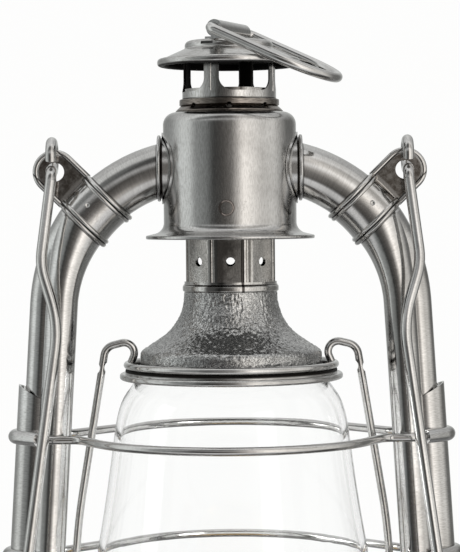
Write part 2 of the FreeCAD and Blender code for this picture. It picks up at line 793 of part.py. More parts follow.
def globe_profile(inset):
    """Side of the glass from foot to mouth, as a curve through its stations."""
    foot = number(GLOBE_FOOT)
    top = number(GLOBE_TOP)
    belly = number("globe_belly_radius")
    belly_level = number("globe_belly_level")
    shoulder = number("globe_shoulder_radius")
    shoulder_level = top - number("globe_shoulder_drop")
    mouth = number("globe_mouth_radius")
    below = belly_level - foot
    above = shoulder_level - belly_level
    drop = top - shoulder_level
    stations = [
        V(number("globe_foot_radius"), 0, foot),
        V(number("globe_foot_radius") + (belly - number("globe_foot_radius")) * 0.62, 0, foot + below * 0.3),
        V(belly - 1.1, 0, foot + below * 0.66),
        V(belly, 0, belly_level),
        V(belly - (belly - shoulder) * 0.36, 0, belly_level + above * 0.42),
        V(belly - (belly - shoulder) * 0.78, 0, belly_level + above * 0.78),
        V(shoulder, 0, shoulder_level),
        V(shoulder - (shoulder - mouth) * 0.19, 0, shoulder_level + drop * 0.35),
        V(shoulder - (shoulder - mouth) * 0.53, 0, shoulder_level + drop * 0.63),
        V(mouth + 0.5, 0, shoulder_level + drop * 0.83),
        V(mouth, 0, top),
    ]
    curve = Part.BSplineCurve()
    curve.interpolate([station - V(inset, 0, 0) for station in stations])
    return curve.toShape()


outside = globe_profile(0)
inside = globe_profile(number("globe_wall"))
foot_edge = Part.makeLine(outside.Vertexes[0].Point, inside.Vertexes[0].Point)
mouth_edge = Part.makeLine(outside.Vertexes[1].Point, inside.Vertexes[1].Point)
globe_section = Part.Face(Part.Wire([outside, mouth_edge, inside, foot_edge]))
node(shaped("globe", globe_section.revolve(V(0, 0, 0), V(0, 0, 1), 360)), "globe")

# Top plate on the glass: flat seat for the dome, a step down, and a rolled rim.

ROLL = "plate_rim_roll"
STEP = "(plate_level - plate_step)"
node(turned("plate_disc", [
    ("plate_bore", "plate_level - plate_sheet"),
    ("plate_bore", "plate_level"),
    ("plate_step_radius", "plate_level", 0.5),
    ("plate_step_radius", STEP),
    ("plate_rim_radius", STEP, f"{ROLL} * 0.8"),
    ("plate_rim_radius", f"{STEP} - 2 * {ROLL}", f"{ROLL} * 0.8"),
    (f"plate_rim_radius - 1.8 * {ROLL}", f"{STEP} - 2 * {ROLL}", f"{ROLL} * 0.7"),
    (f"plate_rim_radius - 1.8 * {ROLL}", f"{STEP} - plate_sheet"),
    ("plate_step_radius - plate_sheet", f"{STEP} - plate_sheet"),
    ("plate_step_radius - plate_sheet", "plate_level - plate_sheet"),
]), "top_plate")

# Dome: cast bell with a steep band at its foot, flaring down from the neck.

node(turned("dome_bell", [
    ("dome_foot_radius", "plate_level"),
    ("dome_foot_radius", "plate_level + dome_band", "dome_shoulder"),
    ("dome_top_radius", "dome_flare_level", "dome_flare"),
    ("dome_top_radius", "dome_top_level"),
    ("dome_top_radius - dome_wall", "dome_top_level"),
    ("dome_top_radius - dome_wall", "dome_flare_level - dome_wall * 0.6", "dome_flare + dome_wall"),
    ("dome_foot_radius - dome_wall", "plate_level + dome_band - dome_wall * 0.8", "dome_shoulder - dome_wall"),
    ("dome_foot_radius - dome_wall", "plate_level"),
]), "dome")

# Neck: tube from the dome up through the hood, with eight flats and flutes between them.

NECK_SHOULDER = "(dome_top_level + neck_flute_height)"
neck_tube = turned("neck_tube", [
    ("stack_radius - neck_wall", "dome_top_level"),
    ("neck_bead_radius", "dome_top_level", 0.6),
    ("neck_bead_radius", "dome_top_level + neck_bead_height", 0.9),
    ("neck_radius", "dome_top_level + neck_bead_height", 0.3),
    ("neck_radius", NECK_SHOULDER, 0.4),
    ("stack_radius", f"{NECK_SHOULDER} + 1.5", 0.5),
    ("stack_radius", f"{CROWN_FOOT} + crown_ring + 1"),
    ("stack_radius - neck_wall", f"{CROWN_FOOT} + crown_ring + 1"),
])
FACETS = 8
flutes = []
FLAT_FOOT = "(dome_top_level + neck_bead_height + 0.9)"
for i in range(FACETS):
    face = 2 * math.pi * i / FACETS - math.pi / 2
    edge = face + math.pi / FACETS
    flutes.append(rod(f"flute_{i}", "neck_flute_radius", f"{NECK_SHOULDER} - {FLAT_FOOT} - 1.5", (
        f"neck_radius * {math.cos(edge):.6f}", f"neck_radius * {math.sin(edge):.6f}", FLAT_FOOT)))
    flat = doc.addObject("Part::Box", f"neck_flat_{i}")
    flat.Placement.Rotation = FreeCAD.Rotation(V(0, 0, 1), math.degrees(face))
    bind(flat, Length=3, Width="neck_radius * 0.64", Height=f"{NECK_SHOULDER} - {FLAT_FOOT} - 1.5", at=(
        f"neck_flat_radius * {math.cos(face):.6f} + neck_radius * 0.32 * {math.sin(face):.6f}",
        f"neck_flat_radius * {math.sin(face):.6f} - neck_radius * 0.32 * {math.cos(face):.6f}",
        FLAT_FOOT))
    flutes.append(flat)
    flutes.append(rod(f"neck_hole_{i}", "neck_hole_radius", "neck_radius", (
        0, 0, "neck_hole_level"), V(math.cos(face), math.sin(face), 0)))
seam = math.radians(number("neck_seam_turn"))
flutes.append(rod("neck_seam", "neck_seam_groove", f"{NECK_SHOULDER} - {FLAT_FOOT}", (
    f"neck_radius * {math.cos(seam):.6f}", f"neck_radius * {math.sin(seam):.6f}", FLAT_FOOT)))
node(cut("neck", neck_tube, *flutes), "neck")

# Crown: ring with four legs, each with a groove, that carries the cap clear of the hot air.

CROWN_TOP = "(cap_rim_bottom + cap_rim_height + 1.2)"
CROWN_BORE = "(stack_radius + fit_gap / 2)"
CROWN_OUTSIDE = f"({CROWN_BORE} + crown_wall)"
crown_tube = turned("crown_tube", [
    (CROWN_BORE, CROWN_FOOT),
    (CROWN_OUTSIDE, CROWN_FOOT),
    (CROWN_OUTSIDE, CROWN_TOP),
    (CROWN_BORE, CROWN_TOP),
])
LEGS = 4
windows = []
WINDOW_FOOT = f"({CROWN_FOOT} + crown_ring)"
for i in range(LEGS):
    leg = math.radians(number("crown_turn") - 90 + 360 / LEGS * i)
    opening = leg + math.pi / LEGS
    sideways = V(-math.sin(opening), math.cos(opening), 0)
    window = plate(f"window_{i}", [
        ("0 - crown_window_width / 2", 0, "crown_window_rounding"),
        ("crown_window_width / 2", 0, "crown_window_rounding"),
        ("crown_window_width / 2", f"{CROWN_TOP} - {WINDOW_FOOT} + 2"),
        ("0 - crown_window_width / 2", f"{CROWN_TOP} - {WINDOW_FOOT} + 2"),
    ], f"{CROWN_OUTSIDE} + 2")
    window.Placement.Rotation = FreeCAD.Rotation(sideways, V(0, 0, 1), V(0, 0, 0), "XYZ")
    windows.append(bind(window, at=(0, 0, WINDOW_FOOT)))
    windows.append(rod(f"leg_groove_{i}", "leg_groove", f"{CROWN_TOP} - {WINDOW_FOOT} + 1", (
        f"({CROWN_OUTSIDE} + leg_groove * 0.3) * {math.cos(leg):.6f}",
        f"({CROWN_OUTSIDE} + leg_groove * 0.3) * {math.sin(leg):.6f}", WINDOW_FOOT)))
node(cut("crown", crown_tube, *windows), "crown")

# Cap: pressed lid with a rolled rim and a raised boss; two slits in the boss let the heat out.

RIM_TOP = "(cap_rim_bottom + cap_rim_height)"
cap_lid = turned("cap_lid", [
    (0, "cap_boss_top"),
    ("cap_boss_radius", "cap_boss_top", 1.6),
    ("cap_boss_radius", "cap_boss_foot", 0.6),
    ("cap_radius - 1.8", RIM_TOP, 1.0),
    ("cap_radius", RIM_TOP, 1.1),
    ("cap_radius", "cap_rim_bottom", 1.1),
    ("cap_radius - 2.4", "cap_rim_bottom", 1.0),
    ("cap_radius - 2.4", f"{RIM_TOP} - cap_sheet * 0.6"),
    ("cap_boss_radius - cap_sheet", "cap_boss_foot - cap_sheet"),
    ("cap_boss_radius - cap_sheet", "cap_boss_top - cap_sheet", 0.8),
    (0, "cap_boss_top - cap_sheet"),
])
slits = []
for i, direction in enumerate((-120, 60)):
    slit = doc.addObject("Part::Box", f"boss_slit_{i}")
    slit.Placement.Rotation = FreeCAD.Rotation(V(0, 0, 1), direction)
    around = math.radians(direction)
    bind(slit, Length=4, Width="slit_length", Height="slit_height", at=(
        f"(cap_boss_radius - 2) * {math.cos(around):.6f} + slit_length / 2 * {math.sin(around):.6f}",
        f"(cap_boss_radius - 2) * {math.sin(around):.6f} - slit_length / 2 * {math.cos(around):.6f}",
        "(cap_boss_top + cap_boss_foot - slit_height) / 2"))
    slits.append(slit)
node(cut("cap", cap_lid, *slits), "cap")

# Ring strap: sheet rolled round the ring's straight side, its two flanges flat on the boss.

yaw = math.radians(number("ring_yaw"))
eye_axis = V(math.cos(yaw), math.sin(yaw), 0)
reach_axis = V(math.sin(yaw), -math.cos(yaw), 0)
STRAP_RADIUS = "(ring_wire + run_gap + strap_sheet)"


def from_eye(along_eye, outward, level):
    """Place given along the eye, outward from it, and by its level."""
    return (f"{eye_axis.x:.6f} * ({along_eye}) + {reach_axis.x:.6f} * ({outward})",
            f"{eye_axis.y:.6f} * ({along_eye}) + {reach_axis.y:.6f} * ({outward})", level)


def strap_block(name, outward, width, level, height):
    """Block in line with the eye, centred on it lengthways."""
    block = doc.addObject("Part::Box", name)
    block.Placement.Rotation = FreeCAD.Rotation(V(0, 0, 1), number("ring_yaw") - 90)
    return bind(block, Length=width, Width="strap_length", Height=height,
                at=from_eye("0 - strap_length / 2", outward, level))


rolled = rod("strap_roll", STRAP_RADIUS, "strap_length",
             from_eye("0 - strap_length / 2", 0, "ring_hinge_level"), eye_axis)
web = strap_block("strap_web", "0 - strap_sheet", "2 * strap_sheet", "cap_boss_top",
                  f"ring_hinge_level - cap_boss_top - {STRAP_RADIUS} + 0.6")
flanges = strap_block("strap_flanges", "0 - strap_foot_reach", "2 * strap_foot_reach", "cap_boss_top",
                      "strap_sheet * 0.7")
eye = rod("strap_eye", "ring_wire + run_gap", "strap_length + 2",
          from_eye("0 - strap_length / 2 - 1", 0, "ring_hinge_level"), eye_axis)
node(cut("strap", fuse("strap", rolled, web, flanges), eye), "ring_strap")

# Lift ring: one wire, straight where it passes the strap and round at its far end.

half = number("ring_width") / 2
corner = number("ring_corner")
length = number("ring_length")
ring_pegs = [(-half + corner, corner, corner), (half - corner, corner, corner), (0, length - half, half)]
droop = math.radians(number("ring_droop"))
outward = reach_axis * math.cos(droop) - V(0, 0, math.sin(droop))
ring_turn = FreeCAD.Rotation(eye_axis, outward, V(0, 0, 0), "XYZ")
ring_place = FreeCAD.Placement(V(0, 0, number("ring_hinge_level")), ring_turn)
node(wire("ring", placed(bend_path(ring_pegs, closed=True), ring_place), "ring_wire"), "lift_ring")

# Air tubes. Each leaves the hood, turns down in one bend, is creased into a front lobe and a rear
# lobe below the bail clamp, and turns in at its foot to the air chamber.

bend = number("tube_bend")
bend_centre = V(number("tube_bend_offset"), 0, number("tube_level") - bend)
lean = math.radians(number("tube_lean"))
end_angle = 90 - number("tube_lean")
down = V(math.sin(lean), 0, -math.cos(lean))
straight_start = bend_centre + V(math.cos(lean), 0, math.sin(lean)) * bend
elbow_bend = number("elbow_bend")
elbow_start_level = number("elbow_level") + elbow_bend * (1 + math.sin(lean))
elbow_centre_inward = V(-math.cos(lean), 0, -math.sin(lean))


def on_bend(angle):
    """Tube centre and heading at an angle round the upper bend, in degrees from the top."""
    turn = math.radians(angle)
    return (bend_centre + V(math.sin(turn), 0, math.cos(turn)) * bend,
            V(math.cos(turn), 0, -math.sin(turn)))


def on_straight(level):
    """Tube centre at a level of the straight run."""
    return straight_start + down * ((straight_start.z - level) / math.cos(lean))


def lobe_direction(heading):
    """From the tube's centre towards the rear lobe, square to the heading."""
    turn = math.radians(number("lobe_turn"))
    outward_normal = V(-heading.z, 0, heading.x)
    return outward_normal * math.cos(turn) + V(0, 1, 0) * math.sin(turn)


def lobed_wire(place, heading, crease, grow, whole=None):
    """Section of the tube: crease 0 is round, 1 is two full lobes. Two arcs that meet in the creases."""
    round_radius = number("tube_radius") if whole is None else whole
    radius = round_radius + (number("lobe_radius") - round_radius) * crease + grow
    offset = number("lobe_offset") * crease
    across = lobe_direction(heading)
    waist = heading.cross(across) * math.sqrt(radius ** 2 - offset ** 2)
    rear = Part.Arc(place + waist, place + across * (offset + radius), place - waist)
    front = Part.Arc(place - waist, place - across * (offset + radius), place + waist)
    return Part.Wire([rear.toShape(), front.toShape()])


def round_run(place, heading, radius, centre, sweep):
    """Round tube bent about a centre, by an angle in degrees about +Y."""
    face = Part.Face(Part.Wire(Part.Circle(place, heading, radius).toShape()))
    return face.revolve(centre, V(0, 1, 0), sweep)


def skin(piece):
    """The walls of a run, without the flat faces at its ends."""
    return [face for face in piece.Faces if not isinstance(face.Surface, Part.Plane)]


def tube_solid(grow, top_extra=0, foot_extra=0):
    """The right-hand tube as a solid, all round larger by grow, and longer at its ends."""
    first = number("tube_start_angle") - top_extra
    crease_start = number("lobe_start_angle")
    place, heading = on_bend(first)
    mouth = lobed_wire(place, heading, 0, grow)
    walls = skin(Part.Face(mouth).revolve(bend_centre, V(0, 1, 0), crease_start - first))
    sections = []
    for i in range(CREASE_STEPS + 1):
        share = i / CREASE_STEPS
        place, heading = on_bend(crease_start + (end_angle - crease_start) * share)
        sections.append(lobed_wire(place, heading, share * (2 - share), grow))
    walls += skin(Part.makeLoft(sections, False, False))
    crease_end = on_straight(number("lobe_end_level"))
    walls += skin(lobed_wire(straight_start, down, 1, grow).extrude(crease_end - straight_start))
    elbow_start = on_straight(elbow_start_level)
    elbow_radius = number("elbow_radius")
    round_foot = lobed_wire(elbow_start, down, 0, grow, elbow_radius)
    walls += skin(Part.makeLoft([lobed_wire(crease_end, down, 1, grow), round_foot], False, True))
    elbow_centre = elbow_start + elbow_centre_inward * elbow_bend
    turned_foot = round_foot.copy()
    turned_foot.rotate(elbow_centre, V(0, 1, 0), 90 + number("tube_lean"))
    walls += skin(Part.Face(round_foot).revolve(elbow_centre, V(0, 1, 0), 90 + number("tube_lean")))
    run_in = V(number("chamber_radius") - 2 - foot_extra - elbow_centre.x, 0, 0)
    walls += skin(turned_foot.extrude(run_in))
    end = turned_foot.copy()
    end.translate(run_in)
    walls += [Part.Face(mouth), Part.Face(end)]
    shell = Part.makeCompound(walls)
    shell.sewShape()
    tube = Part.Solid(shell.Shells[0])
    return tube if tube.Volume > 0 else tube.reversed()


CREASE_STEPS = 6
tube_outside = tube_solid(0)
tube_room = tube_solid(number("fit_gap"), top_extra=2)
tube_bore = tube_solid(-number("tube_wall"), top_extra=1, foot_extra=1)
tube_shell = tube_outside.cut(tube_bore)
for side in SIDES:
    node(shaped(f"tube_{side}", on_side(tube_shell, side)), f"air_tube_{side}")

# Hood: pressed drum with a rounded shoulder and a flared flange; the tubes enter at its sides, and
# a round die has left a faint mark low on its front.

FLANGE_TOP = "(hood_bottom + hood_flange_edge)"
hood_drum = turned("hood_drum", [
    ("hood_flange_radius", "hood_bottom", 0.4),
    ("hood_flange_radius", FLANGE_TOP, 0.4),
    ("hood_radius", f"{FLANGE_TOP} + 1.4", "hood_flare"),
    ("hood_radius", "hood_top", "hood_shoulder"),
    ("collar_bore", "hood_top"),
    ("collar_bore", "hood_top - hood_sheet"),
    ("hood_radius - hood_sheet", "hood_top - hood_sheet", "hood_shoulder - hood_sheet"),
    ("hood_radius - hood_sheet", f"{FLANGE_TOP} + 0.6", "hood_flare"),
    ("hood_flange_radius - 1.5", "hood_bottom", 0.4),
])
tube_rooms = [shaped(f"hood_room_{side}", on_side(tube_room, side)) for side in SIDES]
die_mark = doc.addObject("Part::Torus", "die_mark")
die_mark.Placement.Rotation = FreeCAD.Rotation(V(0, 0, 1), V(0, 1, 0))
bind(die_mark, Radius1="mark_radius", Radius2="mark_groove",
     at=("mark_across", "0 - hood_radius - mark_groove * 0.4", "mark_level"))
node(cut("hood", hood_drum, die_mark, *tube_rooms), "hood")

# Vent ring: pierced cone on the hood's top, with the collar that guides the stack.

CONE_TOP = "(hood_top + vent_cone_height)"
vent_blank = turned("vent_blank", [
    ("collar_bore", "hood_top"),
    ("vent_foot_radius", "hood_top", 0.3),
    ("vent_throat_radius", CONE_TOP),
    ("collar_radius", CONE_TOP),
    ("collar_radius", COLLAR_TOP, 0.4),
    ("collar_bore", COLLAR_TOP),
])
VENTS = 8
vents = []
for i in range(VENTS):
    around = 2 * math.pi * i / VENTS - math.pi / 2
    vents.append(rod(f"vent_{i}", "vent_hole_radius", 6, (
        f"(collar_bore - 1) * {math.cos(around):.6f}",
        f"(collar_bore - 1) * {math.sin(around):.6f}",
        "hood_top + vent_cone_height / 2 - 0.9"),
        V(math.cos(around), math.sin(around), 0.55)))
node(cut("vent", vent_blank, *vents), "vent_ring")

# Tube collars: flanged rings that close the joint between hood and tube, each with a saddle that
# lies on the hood's round wall.

COLLAR_END = "(hood_radius + tube_collar_length)"
for side in SIDES:
    ring = turned(f"collar_{side}", [
        ("tube_radius - 1", 0),
        ("tube_collar_radius", 0, 0.5),
        ("tube_collar_radius", "tube_collar_flange", 0.5),
        ("tube_collar_radius - tube_collar_groove", "tube_collar_flange"),
        ("tube_collar_radius - tube_collar_groove", "tube_collar_radius / 2"),
        ("tube_radius - 1", "tube_collar_radius / 2"),
    ])
    outward = 1 if side == "right" else -1
    ring.Placement.Rotation = FreeCAD.Rotation(V(0, 0, 1), V(-outward, 0, 0))
    bind(ring, at=(f"{outward} * {COLLAR_END}", 0, "tube_collar_level"))
    drum_foot = (0, 0, "tube_collar_level - 1.5 * tube_collar_radius")
    drum = rod(f"collar_seat_{side}", "hood_radius", "3 * tube_collar_radius", drum_foot)
    skin_drum = rod(f"saddle_drum_{side}", "hood_radius + saddle_rise", "3 * tube_collar_radius", drum_foot)
    saddle_rod = rod(f"saddle_rod_{side}", "saddle_radius", COLLAR_END, (0, 0, "tube_collar_level"),
                     V(outward, 0, 0))
    saddle = common(f"saddle_{side}", skin_drum, saddle_rod)
    room = shaped(f"collar_room_{side}", on_side(tube_room, side))
    node(cut(f"collar_{side}", fuse(f"collar_{side}", ring, saddle), drum, room), f"tube_collar_{side}")

# Bail clamps: band round each tube with a double bead at each edge, its two ends brought together
# as a pierced ear with a rolled edge.

clamp_angle = number("clamp_angle")
clamp_width = number("clamp_width")
clamp_bore = number("tube_radius + fit_gap")
clamp_outside = clamp_bore + number("clamp_sheet")
clamp_bead = number("clamp_bead")
clamp_span = math.degrees(2 * clamp_width / bend)
clamp_centre, clamp_heading = on_bend(clamp_angle)
band_start, band_heading = on_bend(clamp_angle - clamp_span / 2)
band_width = clamp_width - clamp_bead
band_limits = Part.makeCylinder(2 * clamp_outside, band_width, clamp_centre - clamp_heading * band_width / 2,
                                clamp_heading)
clamp = (round_run(band_start, band_heading, clamp_outside, bend_centre, clamp_span)
         .cut(round_run(band_start, band_heading, clamp_bore, bend_centre, clamp_span)).common(band_limits))
clamp_beads = []
for bead in (1, 2.8):
    for end in (-1, 1):
        shift = math.degrees((clamp_width / 2 - clamp_bead * bead) / bend)
        place, _ = on_bend(clamp_angle + end * shift)
        clamp_beads.append(Part.makeTorus(clamp_outside, clamp_bead, place, clamp_heading))

ear_direction = clamp_heading.cross(V(0, 1, 0))
ear_centre = clamp_centre + ear_direction * number("ear_reach")
ear_foot = clamp_centre + ear_direction * (clamp_bore + number("seat_gap") / 2)
ear_rim = number("ear_rim")
ear_track = number("ear_radius") - ear_rim
ear_thickness = number("ear_thickness")
ear_disc = Part.makeCylinder(ear_track, ear_thickness, ear_centre - V(0, ear_thickness / 2, 0), V(0, 1, 0))
to_side = clamp_heading * ear_track
ear_strip = Part.Face(Part.makePolygon([ear_foot + to_side, ear_centre + to_side, ear_centre - to_side,
                                        ear_foot - to_side, ear_foot + to_side]))
ear_strip.translate(V(0, -ear_thickness / 2, 0))
ear_strip = ear_strip.extrude(V(0, ear_thickness, 0))
ear_edge = Part.Wire([
    Part.LineSegment(ear_foot + to_side, ear_centre + to_side).toShape(),
    Part.Arc(ear_centre + to_side, ear_centre + ear_direction * ear_track, ear_centre - to_side).toShape(),
    Part.LineSegment(ear_centre - to_side, ear_foot - to_side).toShape(),
])
clamp = clamp.multiFuse([*clamp_beads, ear_disc, ear_strip, thread(ear_edge, ear_rim)])
ear_hole = Part.makeCylinder(number("ear_hole_radius"), 10, ear_centre - V(0, 5, 0), V(0, 1, 0))
pip_radius = number("clamp_pip")
pip_place = clamp_centre + ear_direction * 2.5 - V(0, clamp_outside + pip_radius * 0.3, 0)
clamp = clamp.cut(ear_hole).cut(Part.makeSphere(pip_radius, pip_place)).removeSplitter()
for side in SIDES:
    node(shaped(f"clamp_{side}", on_side(clamp, side)), f"bail_clamp_{side}")

# Guard wires: closed rings. Each bows out round the globe, bears on the front lobes and runs
# through a hollow bead round the outside of each sleeve.

guard_wire = number("guard_wire")
rear_direction = lobe_direction(down)


def lobe_centre(level, offset):
    """Centre of a lobe, or of the sleeve, in the horizontal plane at a level."""
    start = on_straight(level) + rear_direction * offset
    return start - down * ((start.z - level) / down.z)


def guard_pegs(level):
    """The forming pegs of one guard wire, from the front bow round by the right."""
    front = lobe_centre(level, -number("lobe_offset"))
    sleeve = lobe_centre(level, number("lobe_offset + sleeve_shift"))
    wrap = number("lobe_radius + guard_wire + fit_gap")
    track = number("bead_track")
    kink = number("guard_kink")
    bow = number("guard_bow_radius")
    bow_centre = bow - number("guard_bow")
    right = [
        (front.x - number("guard_kink_inset"), front.y - wrap - kink, -kink),
        (front.x, front.y, wrap),
        (sleeve.x, sleeve.y, track),
        (sleeve.x - 8, sleeve.y + track + kink, -kink),
    ]
    left = [(-x, y, r) for x, y, r in reversed(right)]
    return [(0, bow_centre, bow)] + right + [(0, -bow_centre, bow)] + left


def guard_edges(level):
    """Edges of one guard wire's path in its own plane."""
    return bend_path(guard_pegs(level), closed=True)


GUARDS = (("upper", "guard_upper_level"), ("lower", "guard_lower_level"))
beads = []
channels = []
for name, level_name in GUARDS:
    level = number(level_name)
    height = FreeCAD.Placement(V(0, 0, level), FreeCAD.Rotation())
    edges = guard_edges(level)
    path = placed(edges, height)
    node(wire(f"guard_{name}", path, "guard_wire"), f"guard_wire_{name}")
    # the run from the front lobe to the sleeve and the turn round the sleeve lie under the bead
    bead_path = placed([edges[4], edges[5]], height)
    beads.append(thread(bead_path, number("bead_radius")))
    channel_path = placed([edges[3], edges[4], edges[5], edges[6]], height)
    channels.append(thread(channel_path, number("guard_wire + fit_gap")))

# Tube sleeves: outer sleeves on the rear lobes, cut oblique at the top, beaded round the guards.

sleeve_top = lobe_centre(number("sleeve_top") + 6, number("lobe_offset + sleeve_shift"))
sleeve_bottom = lobe_centre(number("sleeve_bottom"), number("lobe_offset + sleeve_shift"))
sleeve_axis = sleeve_top - sleeve_bottom
sleeve_inside = number("sleeve_radius - sleeve_sheet")
sleeve = Part.makeCylinder(number("sleeve_radius"), sleeve_axis.Length, sleeve_bottom, sleeve_axis)
sleeve_bore = Part.makeCylinder(sleeve_inside, sleeve_axis.Length, sleeve_bottom, sleeve_axis)
oblique = Part.makeBox(60, 40, 30, V(-55, -20, 0))
oblique.Placement = FreeCAD.Placement(
    V(sleeve_top.x + number("sleeve_radius"), sleeve_top.y, number("sleeve_top")),
    FreeCAD.Rotation(V(0, 1, 0), -number("sleeve_cut_angle")))
sleeve = sleeve.cut(sleeve_bore).multiFuse(beads).cut(tube_room)
for channel in channels:
    sleeve = sleeve.cut(channel)
sleeve = sleeve.cut(oblique)
sleeve = max(sleeve.Solids, key=lambda solid: solid.Volume)
for side in SIDES:
    node(shaped(f"sleeve_{side}", on_side(sleeve, side)), f"tube_sleeve_{side}")

# Basket wire: ring round the dome's foot, with a hook and a long leg on each side that runs down
# outside the globe and turns in under the gallery plate.

wire_radius = number("basket_wire")
seat = number(GALLERY) - wire_radius - 0.05
corner = number("basket_corner")
leg_pegs = [
    (number("basket_end_reach"), seat, 0),
    (number("basket_corner_reach") - corner, seat + corner, corner),
    (number("basket_belly_reach - basket_belly_bend"), number("basket_belly_level"),
     number("basket_belly_bend")),
    (number("hook_outer_reach - hook_outer_bend"), number("hook_outer_level"), number("hook_outer_bend")),
    (number("hook_inner_reach"), number("hook_inner_level"), number("hook_inner_bend")),
    (number("basket_ring_radius - 1"), number("plate_level") + wire_radius + 0.1, 0),
]
upright = FreeCAD.Placement(V(0, 0, 0), FreeCAD.Rotation(V(1, 0, 0), 90))
leg_edges = bend_path(leg_pegs)
leg = thread(placed(leg_edges, upright), wire_radius)
basket_ring = Part.makeTorus(number("basket_ring_radius"), wire_radius - 0.1,
                             V(0, 0, number("plate_level") + wire_radius))
low, high = (end.Point for end in leg_edges[4].Vertexes)
pinch = low + (high - low) * ((number("pinch_level") - low.y) / (high.y - low.y))
pinch_reach = wire_radius + number("pinch_radius - pinch_depth")
for side in (-1, 1):
    die_centre = V(pinch.x + side * pinch_reach, -2 * wire_radius, pinch.y)
    leg = leg.cut(Part.makeCylinder(number("pinch_radius"), 4 * wire_radius, die_centre, V(0, 1, 0)))
basket = basket_ring.multiFuse([leg, mirrored(leg)])
node(shaped("basket", basket), "basket_wire")

# Bail: one wire in a plane that hangs in front of the tubes, with an open loop through each ear.

ear_x = ear_centre.x
eye_x = ear_x + number("bail_eye_inset")
loop = number("bail_loop")
pivot_level = ear_centre.z + loop + number("fit_gap")
offset = number("bail_offset")
drop = number("bail_drop")
corner_bend = number("bail_corner_bend")
shoulder_bend = number("bail_shoulder_bend")
waist_bend = number("bail_waist_bend")
shank_top = loop + offset
right_pegs = [
    (number("bail_shoulder_reach") - shoulder_bend, -number("bail_shoulder_drop"), -shoulder_bend),
    (number("bail_waist_reach") + waist_bend, -number("bail_waist_drop"), waist_bend),
    (number("bail_corner_reach") - corner_bend, -(drop - corner_bend), -corner_bend),
]
bail_pegs = ([(eye_x, -shank_top, 0)] + right_pegs
             + [(-x, y, r) for x, y, r in reversed(right_pegs)] + [(-eye_x, -shank_top, 0)])
tilt = number("bail_tilt")
bail_turn = FreeCAD.Rotation(V(1, 0, 0), 90 - tilt)
pivot = V(0, 0, pivot_level)


def bail_placement():
    """The bail's plane: its own Y runs up the shanks, offset forward of the pivot."""
    forward = FreeCAD.Rotation(V(1, 0, 0), -tilt).multVec(V(0, -offset, 0))
    return FreeCAD.Placement(pivot + forward, bail_turn)


def hook_loop(x):
    """Loop in the YZ plane: quarter bend off the shank, through the ear, up behind and over."""
    def spot(angle, radius, centre_y=0.0, centre_z=0.0):
        turn = math.radians(angle)
        return V(x, centre_y + radius * math.cos(turn), centre_z + radius * math.sin(turn))
    end = 180 + number("bail_end_angle") - 35
    quarter = Part.Arc(spot(180, offset, 0, -shank_top), spot(135, offset, 0, -shank_top),
                       spot(90, offset, 0, -shank_top))
    rear = Part.Arc(spot(-90, loop), spot(0, loop), spot(90, loop))
    front = Part.Arc(spot(90, loop), spot((90 + end) / 2, loop), spot(end, loop))
    path = Part.Wire([quarter.toShape(), rear.toShape(), front.toShape()])
    path.Placement = FreeCAD.Placement(pivot, FreeCAD.Rotation(V(1, 0, 0), -tilt))
    return path


bail_radius = number("bail_wire")
handle = thread(placed(bend_path(bail_pegs), bail_placement()), bail_radius)
hooks = [thread(hook_loop(x), bail_radius) for x in (eye_x, -eye_x)]
node(shaped("bail", handle.multiFuse(hooks)), "bail")

# Lift lever: cranked strip on a post behind the right tube; its tip lifts the gallery plate.

lift_drop = number("lever_lift") / 2
arm = number("lever_arm")
depth = number("lever_depth")
lever_sheet = number("lever_sheet")
pin_radius = number("lever_pin_radius")
pivot_x = number("tank_radius - lever_pivot_inset")
pivot_z = number(GALLERY) - number("seat_gap") - 1.0 + lift_drop
half_strip = number("lever_width") / 2
crank = number("lever_crank_drop")
reach = number("lever_reach")
strip = [
    V(-arm - 1, 0, -lift_drop), V(-arm, 0, -lift_drop + 1), V(-arm + 1, 0, -lift_drop),
    V(-arm / 2, 0, -crank + 0.6), V(-arm * 0.3, 0, -crank + 1.5), V(-half_strip, 0, half_strip),
    V(half_strip, 0, half_strip + 0.6), V(reach - 8, 0, half_strip + 1), V(reach, 0, half_strip + 4),
    V(reach + 1, 0, half_strip + 1.4), V(reach - 7, 0, -half_strip + 1), V(half_strip, 0, -half_strip - 0.6),
    V(-arm * 0.18, 0, -crank - 1.6), V(-arm / 2, 0, -crank - 2.2), V(-arm + 0.5, 0, -lift_drop - 3),
]


def pivot_rod(radius, start, length):
    """Rod on the lever's pivot, from a depth towards the back."""
    return Part.makeCylinder(radius, length, V(pivot_x, start, pivot_z), V(0, 1, 0))


lever_front = V(pivot_x, depth - lever_sheet / 2, pivot_z)
outline = Part.makePolygon([point + lever_front for point in strip + strip[:1]])
lever = Part.Face(outline).extrude(V(0, lever_sheet, 0))
lever = lever.cut(pivot_rod(pin_radius + number("run_gap"), depth - 5, 10))
node(shaped("lever", lever), "lift_lever")

post_front = depth + lever_sheet / 2 + number("seat_gap")
post_sheet = number("post_sheet")
post_width = number("post_width")
post_foot = number("post_foot")
post_left = pivot_x - post_width / 2 - number("post_shift")
tank_top = number("tank_height")
post = Part.makeBox(post_width, post_sheet, pivot_z + number("post_crest") - tank_top,
                    V(post_left, post_front, tank_top))
foot = Part.makeBox(post_width, post_foot, post_sheet,
                    V(post_left, post_front - post_foot + post_sheet, tank_top))
post = post.fuse(foot).cut(pivot_rod(pin_radius, depth - 5, 10))
node(shaped("post", post), "lever_post")

pin_start = depth - lever_sheet / 2 - number("seat_gap")
pin_head = number("pin_head")
pin = pivot_rod(pin_radius, pin_start, post_front + post_sheet - pin_start)
pin = pin.fuse(pivot_rod(pin_radius + pin_head, pin_start - pin_head, pin_head))
node(shaped("pin", pin), "lever_pin")

# Check every object before anything is written.

